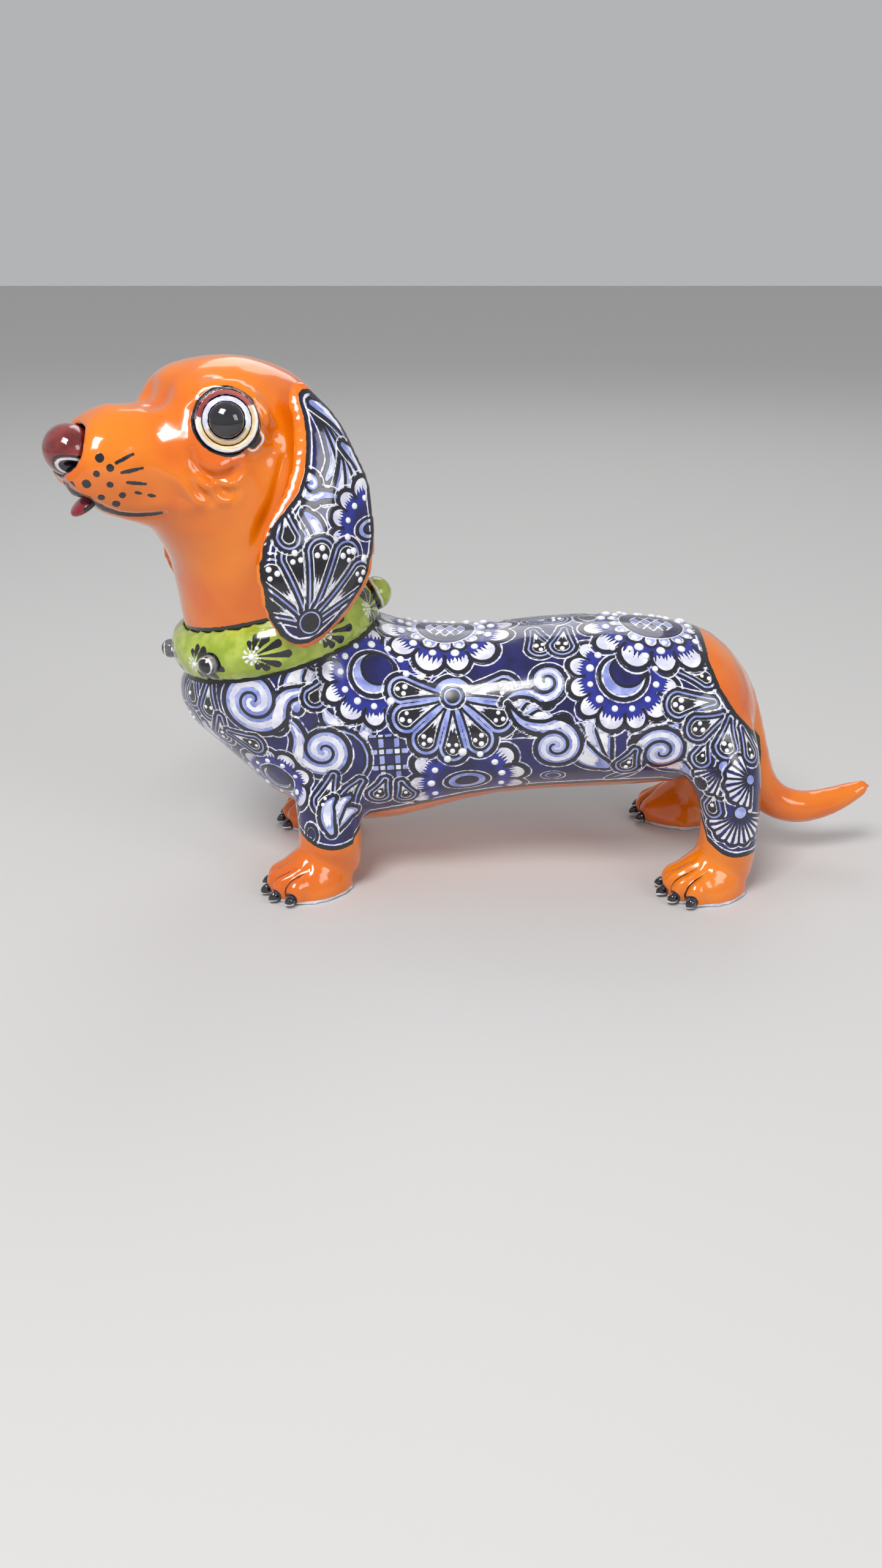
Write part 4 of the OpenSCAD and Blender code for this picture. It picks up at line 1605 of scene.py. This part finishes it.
class Ear:
    """Hanging ear with an orange rim and a painted face."""

    motifs: tuple[tuple[Flat, Motif], ...] = (
        ((2, 158), Plume((0, 0, 0), 24, 285, 5, 34, 0.30, 2.3)),
        ((9, 146), Plume((0, 0, 0), 20, 262, 4, 50, 0.30, 2.0)),
        ((-4, 136), Scroll((0, 0, 0), 5.6, 60, 1.6, 1.8, 1)),
        ((-7, 128), Plume((0, 0, 0), 11, 250, 3, 60, 0.3, 2.0)),
        ((15, 121), Flower((0, 0, 0), 15.5, Heart.OVAL, 12, 0.15)),
    )

    def __init__(self, side: Side) -> None:
        """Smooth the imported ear."""
        self.side = side
        self.name = "ear_" + side.name.lower()
        mesh = voxels(mesh_of(cad_copy(self.name), self.name), 1.2)
        settle(mesh, 10)
        self.mesh = subdivided(mesh, 2)
        self.frame = HeadFrame.from_model()

    def rim(self, f: Array, z: Array) -> Array:
        """Distance from the ear's outline, seen from the side."""
        low, high = z.min(), z.max()
        steps = np.linspace(low, high, 41)
        fronts, backs = [], []
        for a, b in zip(steps[:-1], steps[1:]):
            band = (z >= a) & (z <= b)
            fronts.append((f[band].max(), (a + b) / 2))
            backs.append((f[band].min(), (a + b) / 2))
        outline = np.array(fronts + [(float(f[z > high - 1].mean()), high)] + backs[::-1]
                           + [(float(f[z < low + 0.6].mean()), low)] + fronts[:1])
        gap, _ = distance_to_path(np.stack([f, z], axis=1), outline)
        return gap

    def build(self) -> list[tuple[Array, Array, float]]:
        """Paint the ear and place it.

        Returns:
            The raised dots.
        """
        canvas = Canvas(self.mesh, 31 + self.side.value)
        local = self.frame.local(canvas.points)
        f, out, z = local[:, 0], local[:, 1] * -self.side.value, local[:, 2]
        turned = self.frame.local(canvas.points + canvas.normals)[:, 1] * -self.side.value - out
        gap = self.rim(f, z)
        front = smooth_step(f - np.interp(z, [90, 110, 150, 165], [10, 4, -2, 0]), -6.0, 8.0)
        fold = 2.6 * front * smooth_step(z, 118.0, 138.0)
        lobe = 2.2 * (1.0 - front) * (1.0 - smooth_step(z, 102.0, 122.0))
        field = np.minimum(gap - 1.2 - fold - lobe, 4.0 * (turned - 0.15))
        near = np.where((turned > 0.0) & (gap > 0.4))[0]
        b = Brush(canvas, near, -f[near], z[near])
        for (u, v), motif in self.motifs:
            motif.draw(b.at(u, v, getattr(motif, "turn", 0.0)))
        fan = b.at(-9, 96)
        for a, long in ((150, 15), (124, 19), (99, 20), (76, 21), (53, 23), (32, 22)):
            way = (math.cos(math.radians(a)), math.sin(math.radians(a)))
            dark_drop(fan, (2.0 * way[0], 2.0 * way[1]), (long * way[0], long * way[1]), 3.6)
        hub = 3.0 - fan.radius
        fan.lay(Pot.PALE, hub + 0.9)
        fan.outline(hub + 0.9, 0.8, 0.0)
        fan.lay(Pot.INK, hub)
        drop = b.at(-13.4, 124)
        dark_drop(drop, (0.0, 5.0), (0.0, -2.0), 2.6, 0)
        paint = canvas.paint
        paint[Pot.ORANGE] = -field
        for pot in (Pot.INK, Pot.LINE):
            paint[pot] = np.minimum(paint[pot], field)
        paint[Pot.INK] = np.maximum(paint[Pot.INK], 0.6 - np.abs(field))
        paint[Pot.LINE] = np.maximum(paint[Pot.LINE], 0.3 - np.abs(field - 1.3))
        canvas.store()
        obj = link(self.name + "_clay", self.mesh)
        self.mesh.materials.append(COAT.make())
        finish(obj, Slot.COAT, self.name)
        rim_gap = {tuple(canvas.points[k]): field[k] for k in near}
        return [dot for dot in canvas.dots if rim_gap.get(tuple(dot[0]), 0.0) > 1.0]


class Collar:
    """Green collar band with painted leaf strokes, its studs and its knot."""

    rosettes = 5
    first = 12.0

    def build(self) -> list[tuple[Array, Array, float]]:
        """Smooth, paint and place the band.

        Returns:
            The raised dots.
        """
        mesh = voxels(mesh_of(cad_copy("collar"), "collar"), 1.1)
        settle(mesh, 4)
        mesh = subdivided(mesh, 1)
        canvas = Canvas(mesh, 41)
        studs = island_middles("collar_studs")
        knot = (np.array(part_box("collar_knot")[0]) + np.array(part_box("collar_knot")[1])) / 2 / MM
        ring = np.vstack([studs, knot])
        middle = ring.mean(axis=0)
        centre = np.array(sum(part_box("collar"), Vector())) / 2 / MM
        slope = np.linalg.lstsq(ring[:, :1] - centre[0], ring[:, 2] - centre[2], rcond=None)[0][0]
        up = np.array([-slope, 0.0, 1.0]) / math.hypot(slope, 1.0)
        offset = canvas.points - centre
        height = offset @ up
        flat = offset - np.outer(height, up)
        radius = 36.0
        around = np.arctan2(-flat[:, 1], -flat[:, 0])
        for k in range(2 * self.rosettes):
            turn = math.radians(self.first + 180.0 / self.rosettes * (k // 2))
            side = 1 - 2 * (k % 2)
            own = side * ((around - side * turn + math.pi) % (2 * math.pi) - math.pi)
            near = np.where(np.abs(own) < 0.5)[0]
            b = Brush(canvas, near, own[near] * radius, height[near])
            for a, long, size in ((-82, 5.0, 0.9), (-58, 7.0, 1.2), (-34, 9.5, 1.35), (-11, 12.5, 1.3),
                                  (12, 10.5, 1.35), (36, 8.5, 1.3), (60, 7.0, 1.2), (84, 5.0, 0.9)):
                way = np.array([math.cos(math.radians(a)), math.sin(math.radians(a))])
                inside, _ = teardrop(b, tuple(2.2 * way), tuple((long - size) * way), size)
                b.wash(Pot.INK, inside)
            b.wash(Pot.LINE, np.minimum(0.35 * np.sin(9.0 * b.angle), 3.0 - b.radius))
            b.dot(0.0, 0.0, 1.0)
            for a in (-40.0, 0.0, 40.0):
                b.dot(3.4 * math.cos(math.radians(a)), 3.4 * math.sin(math.radians(a)), 0.8)
        np.maximum(canvas.paint[Pot.INK], 0.8 - gap_to(canvas.points, ["collar_studs"], 2.0),
                   out=canvas.paint[Pot.INK])
        canvas.store()
        obj = link("collar_band", mesh)
        mesh.materials.append(GREEN.make())
        finish(obj, Slot.GREEN, "collar")
        return canvas.dots


@dataclass(frozen=True)
class Trim:
    """Small glazed piece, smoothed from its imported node.

    Each kind says how its surface is shaped and painted.
    """

    node: str
    slot: Slot
    glaze: PaintedGlaze
    voxel: float = 0.7
    rounds: int = 6

    def shape(self, points: Array, out: Array) -> Array:
        """Model the surface further."""
        return points

    def paint(self, canvas: Canvas) -> None:
        """Paint the surface."""

    def build(self) -> None:
        """Make the piece."""
        mesh = voxels(mesh_of(cad_copy(self.node), self.node), self.voxel)
        settle(mesh, self.rounds)
        mesh = subdivided(mesh, 1)
        set_places(mesh, self.shape(places(mesh), normals(mesh)))
        canvas = Canvas(mesh, 51)
        self.paint(canvas)
        canvas.store()
        obj = link(self.node + "_clay", mesh)
        mesh.materials.append(self.glaze.make())
        finish(obj, self.slot, self.node)


@dataclass(frozen=True)
class EyePart(Trim):
    """Part of an eye, measured around the eye's own axis."""

    out: float = 66.0
    up: float = 12.0

    def polar(self, points: Array) -> tuple[Array, Array]:
        """Distance from the eye's axis, and angle around it from the front towards up."""
        side = -1.0 if self.node.endswith("left") else 1.0
        head = HeadFrame.from_model()
        ball = "eyeball" + self.node[self.node.rindex("_"):]
        low, high = (np.array(corner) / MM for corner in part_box(ball))
        middle = head.local((low + high)[None, :] / 2)[0]
        away = head.local(points) - middle
        away[:, 1] *= -side
        a, b = math.radians(self.out), math.radians(self.up)
        axis = np.array([math.cos(a) * math.cos(b), math.sin(a) * math.cos(b), math.sin(b)])
        front = np.array([math.sin(a), -math.cos(a), 0.0])
        top = np.cross(front, axis)
        top *= math.copysign(1.0, top[2])
        return np.hypot(away @ front, away @ top), np.arctan2(away @ top, away @ front)


class Lid(EyePart):
    """Coil around the eye: white, with a red upper lid and ink on both edges."""

    top = 1.35

    def paint(self, canvas: Canvas) -> None:
        """Paint the lid and its edges."""
        r, angle = self.polar(canvas.points)
        low, high = r.min(), r.max()
        share = (r - low) / (high - low)
        off_top = np.abs(angle - self.top)
        lid = np.minimum(1.25 - off_top, (share - 0.12) * 4.0) * 2.0
        canvas.paint[Pot.ORANGE] = np.minimum(lid, (0.70 - share) * 4.0)
        canvas.paint[Pot.INK] = np.maximum((share - 0.84) * 4.0, (0.13 - share) * 4.0)
        canvas.paint[Pot.PALE] = np.minimum((0.5 - share) * 4.0, off_top - 1.3)
        rim = np.where(off_top < 1.3, 0.12 - np.abs(share - 0.74), -1.0) * 4.0
        canvas.paint[Pot.INK] = np.maximum(canvas.paint[Pot.INK], rim - 0.2)


class Ball(EyePart):
    """Cream ball with a grey upper half and a black ring around the pupil."""

    def paint(self, canvas: Canvas) -> None:
        """Paint the rings of the eye."""
        r, angle = self.polar(canvas.points)
        upper = 0.9 * np.sin(angle) + 0.35
        canvas.paint[Pot.WHITE] = np.minimum(upper * 2.0, 3.0)
        canvas.paint[Pot.PALE] = 5.9 - r
        canvas.paint[Pot.INK] = np.maximum(5.45 - r, 0.5 - np.abs(r - 7.3) - 0.35 * (1.0 - np.sin(angle)))


class Nose(Trim):
    """Nose with two dented nostrils, ringed in white."""

    nostril = (0.26, 0.80, -0.50)

    def away(self, points: Array) -> tuple[Array, float]:
        """Distance from the nearer nostril's middle, stretched into an oval."""
        low, high = (np.array(corner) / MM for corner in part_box(self.node))
        size = float((high - low)[2] / 2)
        head = HeadFrame.from_model()
        local = head.local(points) - head.local((low + high)[None, :] / 2)[0]
        local[:, 1] = np.abs(local[:, 1])
        spot = np.array(self.nostril) / np.linalg.norm(self.nostril) * size
        return np.linalg.norm((local - spot) * np.array([0.72, 1.0, 1.15]), axis=1), size

    def shape(self, points: Array, out: Array) -> Array:
        """Dent the nostrils."""
        gap, size = self.away(points)
        return points - out * (1.5 * np.exp(-(gap / (0.30 * size)) ** 2))[:, None]

    def paint(self, canvas: Canvas) -> None:
        """Paint the nostrils."""
        gap, size = self.away(canvas.points)
        canvas.paint[Pot.INK] = 0.36 * size - gap
        canvas.paint[Pot.LINE] = 0.45 - np.abs(gap - 0.42 * size)
        canvas.paint[Pot.INK] = np.maximum(canvas.paint[Pot.INK], 0.35 - np.abs(gap - 0.57 * size))


class Tongue(Trim):
    """Tongue with an ink edge."""

    def paint(self, canvas: Canvas) -> None:
        """Paint the edge."""
        head = HeadFrame.from_model()
        local = head.local(canvas.points)
        side = np.abs(local[:, 1] - local[:, 1].mean())
        canvas.paint[Pot.INK] = (side - 0.86 * side.max()) * 2.0


class Claws(Trim):
    """Flattened claws, each with a pale edge and a painted highlight on top."""

    def middles(self, points: Array) -> Array:
        """Middle of the claw that each place belongs to."""
        centres = island_middles(self.node)
        nearest = np.argmin(np.linalg.norm(points[:, None, :] - centres[None], axis=2), axis=1)
        return centres[nearest]

    def shape(self, points: Array, out: Array) -> Array:
        """Draw each claw out into a low, pointed nail."""
        middle = self.middles(points)
        away = points - middle
        away *= np.array([1.0, 0.86, 0.95])
        tip = smooth_step(-away[:, 0], 0.0, 2.6)
        away[:, 2] -= 0.9 * tip
        away[:, 1] *= 1.0 - 0.25 * tip
        lifted = middle + away
        lifted[:, 2] = np.maximum(lifted[:, 2], 0.15)
        return lifted

    def paint(self, canvas: Canvas) -> None:
        """Paint the pale edge and a grey painted highlight on each claw's top."""
        away = canvas.points - self.middles(canvas.points)
        canvas.paint[Pot.LINE] = 0.3 - np.abs(away[:, 2] + 1.1 + 0.25 * np.sin(2.5 * canvas.points[:, 1]))
        # grey spot on the top of each claw: a painted highlight, not glaze colour
        canvas.paint[Pot.PALE] = 0.5 - np.hypot(away[:, 1], away[:, 2] - 1.3)


class Studs(Trim):
    """Round black studs with painted highlight rings."""

    def paint(self, canvas: Canvas) -> None:
        """Paint the painted highlight, a white and a grey ring, around each stud's own axis."""
        centres = island_middles(self.node)
        gaps = np.linalg.norm(canvas.points[:, None, :] - centres[None], axis=2)
        nearest = np.argmin(gaps, axis=1)
        hub = np.array([HeadFrame.from_model().neck[0], 0.0, 0.0])
        axis = centres[nearest] - hub
        axis[:, 2] = 0.0
        axis /= np.linalg.norm(axis, axis=1)[:, None]
        away = canvas.points - centres[nearest]
        along = np.sum(away * axis, axis=1)
        across = np.linalg.norm(away - along[:, None] * axis, axis=1)
        # white and grey rings around each stud: a painted highlight of the glossy dome
        canvas.paint[Pot.LINE] = 0.16 - np.abs(across - 2.6)
        canvas.paint[Pot.PALE] = 0.3 - np.abs(across - 3.2)


class Knot(Trim):
    """Knot of the collar, outlined with ink."""

    def paint(self, canvas: Canvas) -> None:
        """Paint the outline and two folds."""
        gap = gap_to(canvas.points, ["collar"], 4.0)
        low, high = (np.array(corner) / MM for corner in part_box(self.node))
        away = canvas.points - (low + high) / 2
        fold = np.abs(away[:, 1] - 0.35 * away[:, 2])
        canvas.paint[Pot.INK] = np.maximum(0.9 - gap, 0.5 - fold)
        canvas.paint[Pot.LINE] = np.maximum(0.3 - np.abs(fold - 1.3), 0.3 - np.abs(gap - 1.6))


def trims() -> list[Trim]:
    """All the small glazed pieces."""
    parts: list[Trim] = []
    for side in ("left", "right"):
        parts += [Lid("eyelid_" + side, Slot.EYELID, LID, 0.45, 4),
                  Ball("eyeball_" + side, Slot.EYE_WHITE, SCLERA, 0.5, 4),
                  Trim("pupil_" + side, Slot.INK, INK, 0.5, 4)]
        for end in ("front", "rear"):
            parts.append(Claws(f"claws_{end}_{side}", Slot.INK, INK, 0.6, 5))
    parts += [Nose("nose", Slot.NOSE, NOSE, 0.6, 8), Tongue("tongue", Slot.TONGUE, TONGUE, 0.6),
              Studs("collar_studs", Slot.INK, INK, 0.5, 4), Knot("collar_knot", Slot.GREEN, GREEN)]
    return parts


LAMPS = (("key", (-0.30, -0.65, 0.95), 0.40, 9.0), ("fill", (0.9, -0.8, 0.6), 0.5, 3.0),
         ("back", (0.1, 0.9, 0.9), 0.6, 2.0))
LIT_MIDDLE = Vector((0.0, 0.0, 0.08))


def build_floor() -> None:
    """Pale floor of matt paper."""
    bm = bmesh.new()
    bmesh.ops.create_grid(bm, x_segments=1, y_segments=1, size=4.0)
    floor = link("floor", mesh_of(bm, "floor"))
    material = bpy.data.materials.new("floor_paper")
    material.use_nodes = True
    shader = material.node_tree.nodes["Principled BSDF"]
    shader.inputs["Base Color"].default_value = (0.62, 0.61, 0.60, 1.0)
    shader.inputs["Roughness"].default_value = 0.7
    floor.data.materials.append(material)


def build_lights() -> None:
    """Soft studio light from a pale room and three lamps."""
    world = bpy.data.worlds.new("studio")
    world.use_nodes = True
    world.node_tree.nodes["Background"].inputs[0].default_value = (0.90, 0.91, 0.93, 1.0)
    world.node_tree.nodes["Background"].inputs[1].default_value = 0.5
    bpy.context.scene.world = world
    bpy.context.scene.view_settings.view_transform = "Standard"
    for name, place, size, power in LAMPS:
        lamp = bpy.data.lights.new(name, "AREA")
        lamp.size, lamp.energy = size, power
        obj = bpy.data.objects.new(name, lamp)
        obj.location = place
        aim = LIT_MIDDLE - Vector(place)
        obj.rotation_euler = aim.to_track_quat("-Z", "Y").to_euler()
        bpy.context.scene.collection.objects.link(obj)


def build_camera() -> None:
    """Camera that looks at the dog's left side, a little from above."""
    camera = bpy.data.cameras.new("camera")
    camera.sensor_fit, camera.sensor_height, camera.lens = "VERTICAL", 36.0, 30.94
    holder = bpy.data.objects.new("camera", camera)
    holder.location = (-0.0165, -0.433, 0.210)
    holder.rotation_euler = Euler((math.radians(67.0), 0.0, 0.0))
    bpy.context.scene.collection.objects.link(holder)
    bpy.context.scene.camera = holder


def main() -> None:
    """Build the hound."""
    logging.basicConfig(level=logging.INFO, format="%(name)s: %(message)s")
    build_floor()
    build_lights()
    build_camera()
    clay = Clay()
    dots = Body(clay).build()
    Head(clay).build()
    for side in Side:
        dots += Ear(side).build()
    slip = SLIP.make()
    Dots().build("coat_dots", dots, Slot.COAT, slip)
    Dots().build("collar_dots", Collar().build(), Slot.GREEN, slip)
    for trim in trims():
        trim.build()


if __name__ == "__main__":
    main()
